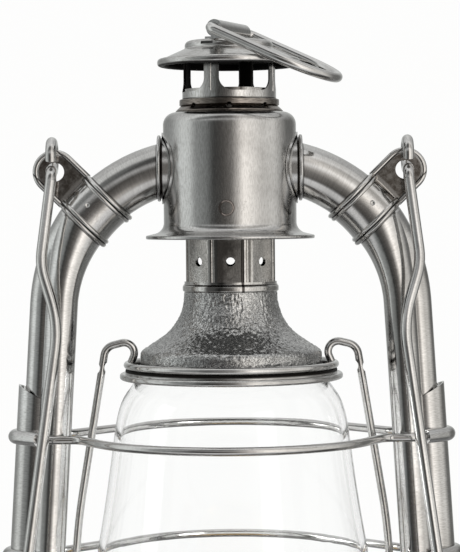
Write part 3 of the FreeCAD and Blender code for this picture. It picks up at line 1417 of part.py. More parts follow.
doc.recompute()
for thing in doc.Objects:
    if "Invalid" in thing.State or "Error" in thing.State:
        raise RuntimeError(f"{thing.Name} failed: {thing.State}")
for piece in nodes:
    if piece.Shape.isNull() or not piece.Shape.isValid() or piece.Shape.Volume <= 0:
        raise RuntimeError(f"{piece.Label} has no valid solid")

os.makedirs("parts", exist_ok=True)
for piece in nodes:
    piece.Shape.exportStep(f"parts/{piece.Label}.step")
    print(f"{piece.Label}: {len(piece.Shape.Solids)} solid, {piece.Shape.Volume:.0f} mm3")
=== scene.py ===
import math

import bmesh
import bpy
from mathutils import Matrix, Vector, noise


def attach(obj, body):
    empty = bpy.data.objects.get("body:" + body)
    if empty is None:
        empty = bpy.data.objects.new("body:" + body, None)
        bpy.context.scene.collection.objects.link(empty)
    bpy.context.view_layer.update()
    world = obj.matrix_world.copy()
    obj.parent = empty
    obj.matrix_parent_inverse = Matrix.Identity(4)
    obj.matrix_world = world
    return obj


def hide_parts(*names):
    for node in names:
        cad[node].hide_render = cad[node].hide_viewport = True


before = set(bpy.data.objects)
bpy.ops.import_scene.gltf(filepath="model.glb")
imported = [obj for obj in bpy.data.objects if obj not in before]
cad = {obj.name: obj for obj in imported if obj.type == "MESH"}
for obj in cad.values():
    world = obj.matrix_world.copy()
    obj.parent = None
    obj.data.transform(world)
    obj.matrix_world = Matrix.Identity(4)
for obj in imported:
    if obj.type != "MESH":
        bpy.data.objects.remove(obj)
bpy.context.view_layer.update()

scene = bpy.context.scene
scene.view_settings.view_transform = "Standard"
MM = 0.001

# Camera: it stands level with the neck, two thirds of a metre off, tipped down a little and rolled
# by the half degree that the lantern leans in the picture.

LEVEL = 203.5 * MM
DISTANCE = 680 * MM
ASIDE = -0.2 * MM
PIXELS_PER_METRE = 3100
PICTURE_HEIGHT = 552
LEVEL_ROW = 213
SENSOR_WIDTH = 36
LEAN = math.radians(0.45)
focal_pixels = PIXELS_PER_METRE * DISTANCE
camera = bpy.data.objects.new("camera", bpy.data.cameras.new("camera"))
scene.collection.objects.link(camera)
camera.data.sensor_width = SENSOR_WIDTH
camera.data.lens = SENSOR_WIDTH * focal_pixels / PICTURE_HEIGHT
camera.location = (ASIDE, -DISTANCE, LEVEL)
tip = math.atan2(PICTURE_HEIGHT / 2 - LEVEL_ROW, focal_pixels)
aim = Matrix.Rotation(math.pi / 2 - tip, 4, "X") @ Matrix.Rotation(-LEAN, 4, "Z")
camera.rotation_euler = aim.to_euler()
scene.camera = camera

# Studio: a background that is pale to the camera and in glass and metal, three soft panels, and a
# pale floor for the shadow. Out of the picture stands a tent of grey and white cards that only
# polished metal shows: a bright one at the front right, dark ones beside the camera.

world = bpy.data.worlds.new("studio")
scene.world = world
world.use_nodes = True
air = world.node_tree
air.nodes.clear()


def node(tree, kind, **inputs):
    """A new node, with values or links for its sockets by name; settings start with set_."""
    made = tree.nodes.new(kind)
    for name, value in inputs.items():
        if name.startswith("set_"):
            setattr(made, name[4:], value)
    for name, value in inputs.items():
        if name.startswith("set_"):
            continue
        number = name[1:]
        socket = made.inputs[int(number) if number.isdigit() else name.replace("_", " ")]
        if isinstance(value, bpy.types.NodeSocket):
            tree.links.new(value, socket)
        else:
            socket.default_value = value
    return made


def math_node(tree, operation, *values):
    """The output of a Math node on one to three values or links."""
    sockets = {f"_{place}": value for place, value in enumerate(values)}
    return node(tree, "ShaderNodeMath", set_operation=operation, **sockets).outputs[0]


def fade(tree, value, empty, full, low=0.0, high=1.0):
    """A share that goes from low, where the value is empty, to high, where it is full."""
    return node(tree, "ShaderNodeMapRange", Value=value, From_Min=empty, From_Max=full,
                To_Min=low, To_Max=high).outputs[0]


def ramp(tree, factor, *stops):
    """A colour ramp of grey stops (place, level)."""
    made = node(tree, "ShaderNodeValToRGB", Fac=factor)
    band = made.color_ramp
    band.elements[0].position, band.elements[1].position = stops[0][0], stops[-1][0]
    for place, _ in stops[1:-1]:
        band.elements.new(place)
    for element, (_, level) in zip(band.elements, stops):
        element.color = (level, level, level, 1)
    return made.outputs["Color"]


def blend(tree, factor, first, second, kind="MIX"):
    """The colour between two colours or links, or of another kind of mixing."""
    return node(tree, "ShaderNodeMix", set_data_type="RGBA", set_blend_type=kind, Factor=factor,
                _6=first, _7=second).outputs[2]


def object_place(tree):
    """The place of a point in its piece's own frame, which is the lantern's."""
    return node(tree, "ShaderNodeTexCoord").outputs["Object"]


def split(tree, vector):
    """The X, Y and Z outputs of a vector."""
    return node(tree, "ShaderNodeSeparateXYZ", Vector=vector).outputs


UNSEEN_GREY, PALE = (0.5, 0.5, 0.5, 1), (0.985, 0.985, 0.98, 1)
ray = node(air, "ShaderNodeLightPath").outputs
seen = math_node(air, "MAXIMUM", ray["Is Camera Ray"], ray["Is Glossy Ray"])
seen = math_node(air, "MAXIMUM", seen, ray["Is Transmission Ray"])
around = blend(air, seen, UNSEEN_GREY, PALE)
backdrop = node(air, "ShaderNodeBackground", Color=around, Strength=1.0)
node(air, "ShaderNodeOutputWorld", Surface=backdrop.outputs[0])

# The cards' grey levels, by degrees: the walls' go round the lantern, with 0 in front and 90 on its
# right, and the roof's go over it, from 0 in front to 180 behind. The roof's share goes by height.

WALL_LEVELS = [(-180, 0.7), (-150, 0.33), (-120, 0.4), (-90, 0.9), (-75, 0.85), (-62, 0.4),
               (-40, 0.25), (-28, 0.06), (-10, 0.1), (3, 0.21), (13, 0.65), (24, 1.5), (45, 1.1),
               (57, 0.83), (82, 0.83), (97, 0.5), (114, 0.2), (140, 0.2), (158, 0.45), (180, 0.7)]
ROOF_LEVELS = [(-180, 0.3), (-128, 0.25), (-108, 0.04), (-90, 0.05), (-74, 0.12), (-58, 0.35),
               (-46, 0.75), (-30, 0.85), (-20, 0.3), (12, 0.3), (24, 1.1), (34, 1.2), (46, 0.15),
               (62, 0.12), (74, 1.1), (84, 0.8), (100, 0.85), (124, 1.1), (150, 0.7), (180, 0.5)]
ROOF_SHARES = [(-90, 1.0), (-50, 1.0), (-28, 0.9), (-18, 0.0), (16, 0.0), (30, 0.4), (60, 0.5),
               (76, 0.9), (90, 1.0)]
WARM_SHARES = [(-180, 0.2), (-36, 0.0), (-10.8, 1.0), (57.6, 0.7), (180, 0.2)]
COOL, WARM = (0.96, 1.0, 0.99, 1), (1.06, 1.0, 0.94, 1)


def by_degrees(tree, angle, reach, stops):
    """A ramp of an angle in radians, with its stops in degrees from -reach to reach."""
    share = fade(tree, angle, -math.radians(reach), math.radians(reach))
    return ramp(tree, share, *[((place + reach) / (2 * reach), level) for place, level in stops])


card = bpy.data.materials.new("card")
card.use_nodes = True
paint = card.node_tree
paint.nodes.clear()
way = split(paint, node(paint, "ShaderNodeVectorMath", set_operation="NORMALIZE",
                        _0=object_place(paint)).outputs[0])
towards = math_node(paint, "MULTIPLY", way["Y"], -1.0)
turn = math_node(paint, "ARCTAN2", way["X"], towards)
over = math_node(paint, "ARCTAN2", way["Z"], towards)
rise = math_node(paint, "ARCSINE", way["Z"])
tint = blend(paint, by_degrees(paint, turn, 180, WARM_SHARES), COOL, WARM)
walls = blend(paint, 1.0, by_degrees(paint, turn, 180, WALL_LEVELS), tint, kind="MULTIPLY")
roof = by_degrees(paint, over, 180, ROOF_LEVELS)
lit = node(paint, "ShaderNodeEmission", Strength=1.0,
           Color=blend(paint, by_degrees(paint, rise, 90, ROOF_SHARES), walls, roof))
node(paint, "ShaderNodeOutputMaterial", Surface=lit.outputs[0])
card.cycles.emission_sampling = "NONE"


def mesh_object(name, shape, material):
    """An object in one material, of a bmesh that isn't needed after it."""
    mesh = bpy.data.meshes.new(name)
    shape.to_mesh(mesh)
    shape.free()
    mesh.materials.append(material)
    made = bpy.data.objects.new(name, mesh)
    scene.collection.objects.link(made)
    return made


TENT_RADIUS = 5.0
ball = bmesh.new()
bmesh.ops.create_uvsphere(ball, u_segments=48, v_segments=24, radius=TENT_RADIUS)
tent = mesh_object("tent_of_cards", ball, card)
tent.visible_camera = tent.visible_diffuse = tent.visible_transmission = tent.visible_shadow = False


def panel(name, size, place, aim, power):
    """A soft rectangular lamp at a place, facing a point."""
    lamp = bpy.data.lights.new(name, "AREA")
    lamp.shape = "RECTANGLE"
    lamp.size, lamp.size_y = size
    lamp.energy = power
    made = bpy.data.objects.new(name, lamp)
    scene.collection.objects.link(made)
    made.location = place
    made.rotation_euler = (Vector(aim) - Vector(place)).to_track_quat("-Z", "Y").to_euler()
    made.visible_glossy = False


panel("right_panel", size=(0.5, 0.9), place=(0.85, -1.15, 0.55), aim=(0, 0, 0.16), power=9)
panel("left_panel", size=(0.5, 0.9), place=(-1.3, -0.25, 0.5), aim=(0, 0, 0.16), power=7)
panel("top_panel", size=(0.9, 0.9), place=(0, 0.1, 1.4), aim=(0, 0, 0.1), power=8)


def plain_material(name, **values):
    """A plain material, with values for its shader's sockets by name."""
    made = bpy.data.materials.new(name)
    made.use_nodes = True
    shader = made.node_tree.nodes["Principled BSDF"]
    for socket, value in values.items():
        shader.inputs[socket.replace("_", " ")].default_value = value
    return made


FLOOR_RADIUS = 0.56
disc = bmesh.new()
bmesh.ops.create_circle(disc, cap_ends=True, segments=96, radius=FLOOR_RADIUS)
pale = plain_material("pale_floor", Base_Color=(0.8, 0.8, 0.79, 1), Roughness=0.7)
floor = mesh_object("floor", disc, pale)
floor.visible_glossy = False

# Tank: two pressed shells of zinc-coated sheet, folded together at the seam, with the filler neck
# and its cap of the same sheet. The finish is bright and faintly drawn upwards, with soft smudges,
# a changing tone and small pits, and serves all the lantern's sheet.


def new_group(name, inputs, outputs):
    """An empty node group with named sockets of given kinds."""
    group = bpy.data.node_groups.new(name, "ShaderNodeTree")
    for way, sockets in (("INPUT", inputs), ("OUTPUT", outputs)):
        for socket, kind in sockets.items():
            group.interface.new_socket(name=socket, in_out=way, socket_type=f"NodeSocket{kind}")
    return group


def clouds(tree, place, scale, detail=2.0, roughness=0.5):
    """A soft noise; its scale is in turns to the metre."""
    return node(tree, "ShaderNodeTexNoise", Vector=place, Scale=scale, Detail=detail,
                Roughness=roughness).outputs["Fac"]


def product(tree, *masks):
    """Masks multiplied together."""
    result = masks[0]
    for mask in masks[1:]:
        result = math_node(tree, "MULTIPLY", result, mask)
    return result


DIRT_ROUGHNESS, STREAK_HEIGHT = 0.22, 0.4


def sheet_finish_group():
    """Colour, roughness and height of bright sheet: drawn grain, tone, smudges, and pits."""
    group = new_group("sheet_finish",
                      {"Metal": "Color", "Tone": "Color", "Tarnish": "Color", "Place": "Vector",
                       "Stretch": "Vector", "Gloss": "Float", "Mottle": "Float",
                       "Smudge": "Float", "Pits": "Float"},
                      {"Color": "Color", "Roughness": "Float", "Height": "Float"})
    given = node(group, "NodeGroupInput").outputs
    place = given["Place"]
    drawn = node(group, "ShaderNodeMapping", Vector=place, Scale=given["Stretch"]).outputs[0]
    grain = clouds(group, drawn, scale=2600.0, detail=3.0)
    streak = clouds(group, drawn, scale=420.0)
    drift = clouds(group, place, scale=24.0, detail=3.0)
    smear = clouds(group, place, scale=55.0, detail=5.0, roughness=0.62)
    smear = product(group, fade(group, smear, empty=0.45, full=0.72), given["Smudge"])
    spots = clouds(group, place, scale=1500.0)
    spots = product(group, fade(group, spots, empty=0.66, full=0.74), given["Pits"])
    dirt_and_crevice_shade = math_node(group, "MAXIMUM", smear, spots)
    flecks = product(group, fade(group, grain, empty=0.58, full=0.4), given["Mottle"])
    toned = fade(group, drift, empty=0.38, full=0.62)
    colour = blend(group, toned, given["Metal"], given["Tone"])
    colour = blend(group, dirt_and_crevice_shade, colour, given["Tarnish"])
    colour = blend(group, flecks, colour, given["Tarnish"])
    uneven = fade(group, streak, empty=0.3, full=0.7, low=-0.02, high=0.03)
    rough = math_node(group, "ADD", uneven, given["Gloss"])
    rough = math_node(group, "MULTIPLY_ADD", dirt_and_crevice_shade, DIRT_ROUGHNESS, rough)
    height = math_node(group, "MULTIPLY_ADD", streak, STREAK_HEIGHT, grain)
    height = math_node(group, "SUBTRACT", height, spots)
    node(group, "NodeGroupOutput", Color=colour, Roughness=rough, Height=height)
    return group


sheet_finish = sheet_finish_group()


def feed(tree, output, name):
    """Link an output to a socket of the shader."""
    tree.links.new(output, tree.nodes["Principled BSDF"].inputs[name])


def fed(tree, name):
    """The output that is linked to a socket of the shader."""
    return tree.nodes["Principled BSDF"].inputs[name].links[0].from_socket


def emboss(tree, height, strength, depth):
    """Relief of a height; depth is in metres."""
    feed(tree, node(tree, "ShaderNodeBump", Height=height, Strength=strength,
                    Distance=depth).outputs["Normal"], "Normal")


def metal_finish(name, colours, stretch, gloss, mottle, smudge, pits, relief):
    """A metal of the sheet finish. Its colours are those of the metal, of its second tone and of
    its tarnish; relief is the grain's depth in metres."""
    material = plain_material(name, Metallic=1.0)
    tree = material.node_tree
    metal, tone, tarnish = [(*colour, 1) for colour in colours]
    finish = node(tree, "ShaderNodeGroup", set_node_tree=sheet_finish, Place=object_place(tree),
                  Metal=metal, Tone=tone, Tarnish=tarnish, Stretch=stretch, Gloss=gloss,
                  Mottle=mottle, Smudge=smudge, Pits=pits)
    finish.name = "finish"
    feed(tree, finish.outputs["Color"], "Base Color")
    feed(tree, finish.outputs["Roughness"], "Roughness")
    emboss(tree, finish.outputs["Height"], strength=1.0, depth=relief)
    return material


def zinc_sheet(name, stretch):
    """Bright zinc-coated sheet; stretch is the way its grain is drawn."""
    colours = (0.72, 0.72, 0.715), (0.6, 0.595, 0.585), (0.27, 0.262, 0.252)
    return metal_finish(name, colours, stretch, gloss=0.15, mottle=0.3, smudge=0.4, pits=0.4,
                        relief=0.004 * MM)


def dress(material, *names):
    """Give CAD nodes a material."""
    for name in names:
        mesh = cad[name].data
        mesh.materials.clear()
        mesh.materials.append(material)


UPWARDS, AROUND, UNBRUSHED = (1.2, 1.2, 0.25), (0.2, 0.2, 1.3), (1, 1, 1)
bright_sheet = zinc_sheet("bright_sheet", UPWARDS)
dress(bright_sheet, "tank_bowl", "tank_top", "filler_neck", "filler_cap")

# Filler gasket: a ring of pressed cork with dark crumbs. It lies in the filler cap and seals the
# filler neck.

cork = plain_material("cork", Roughness=0.85)
tree = cork.node_tree
place = object_place(tree)
crumb = node(tree, "ShaderNodeTexVoronoi", Vector=place, Scale=1300.0).outputs["Distance"]
fleck = fade(tree, clouds(tree, place, scale=1700.0), empty=0.52, full=0.6)
feed(tree, blend(tree, fleck, (0.42, 0.25, 0.12, 1), (0.14, 0.07, 0.03, 1)), "Base Color")
emboss(tree, crumb, strength=0.6, depth=0.1 * MM)
dress(cork, "filler_gasket")

# Burner: stamped and drawn brass on the air chamber, dulled by heat, with the knob and spindle that
# wind the wick.

BRASS = (0.72, 0.52, 0.26), (0.62, 0.44, 0.22), (0.36, 0.24, 0.12)
dress(bright_sheet, "air_chamber")
brass = metal_finish("satin_brass", BRASS, (1, 1, 0.1), gloss=0.28, mottle=0.2, smudge=0.5,
                     pits=0.3, relief=0.004 * MM)
dress(brass, "burner_base", "burner_cone", "wick_tube", "wick_spindle", "wick_wheels", "wick_knob")

# Wick: a flat woven cotton tape in the wick tube, cream, and charred over its last two millimetres
# with a ragged edge.

WICK_TOP, CHAR_DEPTH, CHAR_FADE, CHAR_WANDER = 78.3 * MM, 1.8 * MM, 0.9 * MM, 1.2 * MM
# A near black: the charred wick here, and painted shade on the top plate, the crown's leg grooves
# and the clamps' valleys.
CHAR_AND_SHADE_BLACK = (0.02, 0.018, 0.016, 1)
cotton = plain_material("wick_cotton", Roughness=0.9)
tree = cotton.node_tree
place = object_place(tree)
warp = node(tree, "ShaderNodeTexWave", set_bands_direction="X", Vector=place, Scale=260.0)
weft = node(tree, "ShaderNodeTexWave", set_bands_direction="Z", Vector=place, Scale=330.0)
weave = product(tree, warp.outputs["Fac"], weft.outputs["Fac"])
edge = math_node(tree, "MULTIPLY_ADD", clouds(tree, place, scale=900.0), CHAR_WANDER,
                 split(tree, place)["Z"])
char = fade(tree, edge, WICK_TOP - CHAR_DEPTH, WICK_TOP - CHAR_DEPTH + CHAR_FADE)
thread = blend(tree, weave, (0.5, 0.45, 0.36, 1), (0.8, 0.75, 0.64, 1))
feed(tree, blend(tree, char, thread, CHAR_AND_SHADE_BLACK), "Base Color")
emboss(tree, weave, strength=0.8, depth=0.2 * MM)
dress(cotton, "wick")

# Gallery plate and top plate: thin stamped sheet that holds the globe between them. Painted shade
# darkens and dulls the top plate in the low ring between the dome and the rolled rim.


def far(tree, first, second):
    """The distance that two sides at a right angle make."""
    square = math_node(tree, "MULTIPLY", second, second)
    return math_node(tree, "SQRT", math_node(tree, "MULTIPLY_ADD", first, first, square))


def stain(tree, mask, colour):
    """Colour a metal where the mask is 1."""
    feed(tree, blend(tree, mask, fed(tree, "Base Color"), colour), "Base Color")


def dull(tree, mask):
    """Take a metal's shine away where the mask is 1."""
    mixed = node(tree, "ShaderNodeMix", set_data_type="FLOAT", Factor=mask,
                 _2=fed(tree, "Roughness"), _3=SOOT_AND_SHADE_ROUGHNESS)
    feed(tree, mixed.outputs[0], "Roughness")


SOOT_AND_SHADE_ROUGHNESS = 0.6
GAP_SHADE_INNER, GAP_SHADE_OUTER, GAP_SHADE_LEVEL = 30.5 * MM, 34.9 * MM, 152.8 * MM
INNER_FADE, OUTER_FADE, LEVEL_FADE = 1.0 * MM, 0.3 * MM, 0.5 * MM
dress(bright_sheet, "gallery_plate")
plate_sheet = zinc_sheet("plate_sheet", AROUND)
tree = plate_sheet.node_tree
spot = split(tree, object_place(tree))
reach = far(tree, spot["X"], spot["Y"])
# Painted shade: a dark, dull ring on the plate between the dome's foot and the rolled rim.
gap_shade = product(tree, fade(tree, reach, GAP_SHADE_INNER - INNER_FADE, GAP_SHADE_INNER),
                fade(tree, reach, GAP_SHADE_OUTER, GAP_SHADE_OUTER - OUTER_FADE),
                fade(tree, spot["Z"], GAP_SHADE_LEVEL - LEVEL_FADE, GAP_SHADE_LEVEL))
stain(tree, gap_shade, CHAR_AND_SHADE_BLACK)
dull(tree, gap_shade)
dress(plate_sheet, "top_plate")

# Globe: blown clear glass. Its foot stands on the gallery plate and its mouth bears under the top
# plate.

glass = plain_material("clear_glass", Base_Color=(0.997, 1.0, 0.998, 1), Roughness=0.0, IOR=1.22,
                       Transmission_Weight=1.0)
dress(glass, "globe")

# Dome: a cast bell on the top plate, darker than the sheet, with a coarse hammered skin and a plain
# band round its foot. Heights and radii are in millimetres.

FOOT, BAND, FLARE, TOP = 153.5, 159.0, 168.3, 178.3
FOOT_RADIUS, TOP_RADIUS, WALL = 29.3, 15.0, 1.0
BAND_BEND, BAND_STEPS, FLARE_BEND, FLARE_STEPS = 2.5, 6, 17.0, 40
SKIN_STEP, LINING_SKIP, STEPS_ROUND = 0.3, 5, 600
COARSE_SIZE, COARSE_DEPTH = 1.15, 0.16
FINE_SIZE, FINE_DEPTH, FINE_SHIFT = 0.7, 0.17, Vector((7, 3, 5))
FOOT_MARGIN, TOP_MARGIN, BAND_MARGIN, BAND_SHARE = 0.4, 0.3, 0.6, 0.5


def arc_corner(before, corner, after, bend, steps):
    """Points of the arc of radius bend that rounds a corner of an outline."""
    back, on = (before - corner).normalized(), (after - corner).normalized()
    half = back.angle(on) / 2
    centre = corner + (back + on).normalized() * bend / math.sin(half)
    first = corner + back * bend / math.tan(half) - centre
    last = corner + on * bend / math.tan(half) - centre
    sweep = first.angle_signed(last)
    return [centre + Matrix.Rotation(-sweep * step / steps, 2) @ first for step in range(steps + 1)]


def evenly(points, spacing):
    """An outline cut into steps of about the same length."""
    result = [points[0]]
    for start, stop in zip(points, points[1:]):
        steps = max(1, round((stop - start).length / spacing))
        result += [start.lerp(stop, step / steps) for step in range(1, steps + 1)]
    return result


foot, band = Vector((FOOT_RADIUS, FOOT)), Vector((FOOT_RADIUS, BAND))
flare, top = Vector((TOP_RADIUS, FLARE)), Vector((TOP_RADIUS, TOP))
skin = evenly([foot, *arc_corner(foot, band, flare, BAND_BEND, BAND_STEPS),
               *arc_corner(band, flare, top, FLARE_BEND, FLARE_STEPS), top], SKIN_STEP)
lining = [Vector((point.x - WALL, point.y - WALL / 2))
          for point in reversed(skin[LINING_SKIP:-LINING_SKIP:LINING_SKIP])]
outline = [*skin, Vector((TOP_RADIUS - WALL, TOP)), *lining, Vector((FOOT_RADIUS - WALL, FOOT))]
bell = bmesh.new()
corners = [bell.verts.new((point.x * MM, 0, point.y * MM)) for point in outline]
edges = [bell.edges.new(pair) for pair in zip(corners, corners[1:] + corners[:1])]
bmesh.ops.spin(bell, geom=corners + edges, axis=(0, 0, 1), steps=STEPS_ROUND, angle=math.tau,
               use_merge=True)
bmesh.ops.remove_doubles(bell, verts=bell.verts, dist=0.01 * MM)
bmesh.ops.recalc_face_normals(bell, faces=bell.faces)
bell.normal_update()
for vert in bell.verts:
    height = vert.co.z / MM
    outward = vert.normal.x * vert.co.x + vert.normal.y * vert.co.y > 0
    if outward and FOOT + FOOT_MARGIN < height < TOP - TOP_MARGIN:
        coarse = noise.noise(vert.co / (COARSE_SIZE * MM))
        fine = noise.noise(vert.co / (FINE_SIZE * MM) + FINE_SHIFT)
        share = BAND_SHARE if height < BAND - BAND_MARGIN else 1.0
        vert.co += vert.normal * (coarse * COARSE_DEPTH + fine * FINE_DEPTH) * share * MM
CAST = (0.7, 0.7, 0.69), (0.5, 0.505, 0.5), (0.1, 0.1, 0.098)
cast_skin = metal_finish("cast_skin", CAST, UNBRUSHED, gloss=0.12, mottle=0.75, smudge=0.25,
                         pits=0.9, relief=0.04 * MM)
cast_skin.node_tree.nodes["Principled BSDF"].inputs["Metallic"].default_value = 0.9
dome_skin = mesh_object("dome_skin", bell, cast_skin)
dome_skin.data.shade_smooth()
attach(dome_skin, "chimney")
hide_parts("dome")

# Neck, crown, cap and vent ring: the stack that carries the hot gas. Its sheet is browned by the
# heat, and where it faces inwards or down it is black, partly with soot and partly as painted
# shade. Down the neck's front beside its seam runs a dark band of painted reflection, and the
# grooves of the crown's legs are darkened with painted shade.


def soot_and_shade_group():
    """A mask of soot and painted shade: 1 on walls that face the lantern's axis, and Under on
    undersides.
    """
    group = new_group("soot_and_shade", {"Under": "Float"}, {"Mask": "Float"})
    under = node(group, "NodeGroupInput").outputs["Under"]
    texture = node(group, "ShaderNodeTexCoord").outputs
    flat = node(group, "ShaderNodeVectorMath", set_operation="MULTIPLY", _0=texture["Object"],
                _1=(1, 1, 0)).outputs[0]
    outward = node(group, "ShaderNodeVectorMath", set_operation="NORMALIZE", _0=flat).outputs[0]
    facing = node(group, "ShaderNodeVectorMath", set_operation="DOT_PRODUCT", _0=outward,
                  _1=texture["Normal"]).outputs["Value"]
    inner = fade(group, facing, empty=-0.25, full=-0.6)
    tilt = split(group, texture["Normal"])["Z"]
    lower = product(group, fade(group, tilt, empty=-0.35, full=-0.75), under)
    node(group, "NodeGroupOutput", Mask=math_node(group, "MAXIMUM", inner, lower))
    return group


soot_and_shade = soot_and_shade_group()


def sooted_and_shaded(material, under=0.0):
    """Blacken a metal's inner faces, and its lower ones by the share under, with soot and painted
    shade.
    """
    tree = material.node_tree
    mask = node(tree, "ShaderNodeGroup", set_node_tree=soot_and_shade, Under=under).outputs["Mask"]
    # The black of soot and of painted shade on the inner and lower faces.
    stain(tree, mask, (0.012, 0.011, 0.01, 1))
    dull(tree, mask)
    return material


FLAT_DEPTH, FLAT_FADE = 13.0 * MM, 0.6 * MM
REFLECTION_WANDER, REFLECTION_LEAN, REFLECTION_EDGE, REFLECTION_FADE, REFLECTION_SHARE = 14 * MM, -0.12, -13.5 * MM, 4.0 * MM, 0.8
SEAM_TURN, SEAM_EDGE, SEAM_CORE = math.radians(-75), 0.6 * MM, 0.35 * MM
BROWNED = (0.74, 0.735, 0.72), (0.52, 0.51, 0.49), (0.1, 0.085, 0.075)
neck_sheet = sooted_and_shaded(metal_finish("neck_sheet", BROWNED, (1, 1, 0.5), gloss=0.12, mottle=0.25,
                                 smudge=0.6, pits=0.5, relief=0.014 * MM))
tree = neck_sheet.node_tree
place = object_place(tree)
spot = split(tree, place)
front = fade(tree, spot["Y"], -FLAT_DEPTH, -FLAT_DEPTH - FLAT_FADE)
# Painted dark reflection: a dark band with a wandering edge down the neck's front flat, left of the
# seam.
wander = clouds(tree, place, scale=240.0, detail=4.0, roughness=0.65)
edge = math_node(tree, "MULTIPLY_ADD", wander, REFLECTION_WANDER, spot["X"])
edge = math_node(tree, "MULTIPLY_ADD", spot["Z"], REFLECTION_LEAN, edge)
dark_reflection = product(tree, fade(tree, edge, REFLECTION_EDGE, REFLECTION_EDGE - REFLECTION_FADE), front, REFLECTION_SHARE)
off_seam = math_node(tree, "MULTIPLY_ADD", spot["X"], math.sin(SEAM_TURN),
                     math_node(tree, "MULTIPLY", spot["Y"], -math.cos(SEAM_TURN)))
seam = product(tree, fade(tree, math_node(tree, "ABSOLUTE", off_seam), SEAM_EDGE, SEAM_CORE), front)
# The painted dark reflection and the seam's dark joint line share one dark colour.
stain(tree, math_node(tree, "MAXIMUM", dark_reflection, seam), (0.07, 0.065, 0.06, 1))
dress(neck_sheet, "neck")

SCORCHED = (0.42, 0.39, 0.36), (0.28, 0.25, 0.225), (0.06, 0.047, 0.038)
vent_sheet = sooted_and_shaded(metal_finish("vent_sheet", SCORCHED, AROUND, gloss=0.2, mottle=0.5, smudge=0.8,
                                 pits=0.6, relief=0.006 * MM))
dress(vent_sheet, "vent_ring")

HEATED = (0.76, 0.76, 0.755), (0.62, 0.615, 0.605), (0.24, 0.222, 0.2)
cap_sheet = sooted_and_shaded(metal_finish("cap_sheet", HEATED, AROUND, gloss=0.15, mottle=0.35, smudge=0.5,
                                pits=0.5, relief=0.005 * MM), under=0.92)
dress(cap_sheet, "cap")

# Painted shade: the grooves of the crown's legs, inside this radius, are darkened.
LEG_GROOVE, LEG_FADE = 14.0 * MM, 0.15 * MM
crown_sheet = sooted_and_shaded(metal_finish("crown_sheet", HEATED, UPWARDS, gloss=0.15, mottle=0.35,
                                  smudge=0.5, pits=0.5, relief=0.005 * MM), under=0.9)
tree = crown_sheet.node_tree
spot = split(tree, object_place(tree))
stain(tree, fade(tree, far(tree, spot["X"], spot["Y"]), LEG_GROOVE + LEG_FADE, LEG_GROOVE), CHAR_AND_SHADE_BLACK)
dress(crown_sheet, "crown")

# Lift ring and its strap: a ring of drawn wire that swings in a rolled eye of sheet, riveted to the
# cap.

WIRE = (0.76, 0.757, 0.75), (0.66, 0.653, 0.64), (0.27, 0.262, 0.25)
bright_wire = metal_finish("bright_wire", WIRE, UNBRUSHED, gloss=0.09, mottle=0.2, smudge=0.35,
                           pits=0.35, relief=0.004 * MM)
dress(bright_wire, "lift_ring")
dress(bright_sheet, "ring_strap")

# Hood: one drawn shell with a rounded shoulder and a flared foot. A round die has left a dull,
# brown ring low on its front.

MARK_ACROSS, MARK_LEVEL, MARK_RADIUS = -1.1 * MM, 205.1 * MM, 2.2 * MM
MARK_EDGE, MARK_CORE, MARK_SHARE = 0.5 * MM, 0.25 * MM, 0.6
hood_sheet = zinc_sheet("hood_sheet", UPWARDS)
tree = hood_sheet.node_tree
spot = split(tree, object_place(tree))
reach = far(tree, math_node(tree, "SUBTRACT", spot["X"], MARK_ACROSS),
            math_node(tree, "SUBTRACT", spot["Z"], MARK_LEVEL))
off_ring = math_node(tree, "ABSOLUTE", math_node(tree, "SUBTRACT", reach, MARK_RADIUS))
front = math_node(tree, "LESS_THAN", spot["Y"], 0.0)
ring = product(tree, fade(tree, off_ring, MARK_EDGE, MARK_CORE), front, MARK_SHARE)
stain(tree, ring, (0.26, 0.2, 0.17, 1))
dress(hood_sheet, "hood")

# Tube collars: spun rings on the hood that take the air tubes' ends, with a line of painted shade
# in the groove behind the flange.

COLLAR_LEVEL, GROOVE_ACROSS, GROOVE_REACH = 218.0 * MM, 21.95 * MM, 10.2 * MM
GROOVE_EDGE, GROOVE_CORE, GROOVE_FADE = 0.6 * MM, 0.35 * MM, 0.4 * MM
collar_sheet = zinc_sheet("collar_sheet", UNBRUSHED)
tree = collar_sheet.node_tree
spot = split(tree, object_place(tree))
across = math_node(tree, "SUBTRACT", math_node(tree, "ABSOLUTE", spot["X"]), GROOVE_ACROSS)
reach = far(tree, spot["Y"], math_node(tree, "SUBTRACT", spot["Z"], COLLAR_LEVEL))
groove_shade = product(tree, fade(tree, math_node(tree, "ABSOLUTE", across), GROOVE_EDGE, GROOVE_CORE),
                 fade(tree, reach, GROOVE_REACH + GROOVE_FADE, GROOVE_REACH))
# Painted shade: a dark line in the groove behind the flange.
stain(tree, groove_shade, (0.015, 0.013, 0.011, 1))
dress(collar_sheet, "tube_collar_right", "tube_collar_left")

# Air tubes: drawn tube, brushed crosswise all along, round the bend as well, and creased into two
# lobes from the bail clamps down. A sleeve is soldered to each rear lobe, and painted shade lies
# beside the clamps and the collars.

BEND_CENTRE, BEND_LEVEL, BEND_RADIUS = 9.5 * MM, 171.4 * MM, 47.7 * MM
CLAMP_TURN, CLAMP_END, FLANGE_FRONT = math.radians(45.7), 6.85 * MM, 23.3 * MM
SHADE_EDGE, SHADE_FAR_EDGE, SHADE_CORE, SHADE_SHARE = 0.5 * MM, 0.6 * MM, 0.1 * MM, 0.9


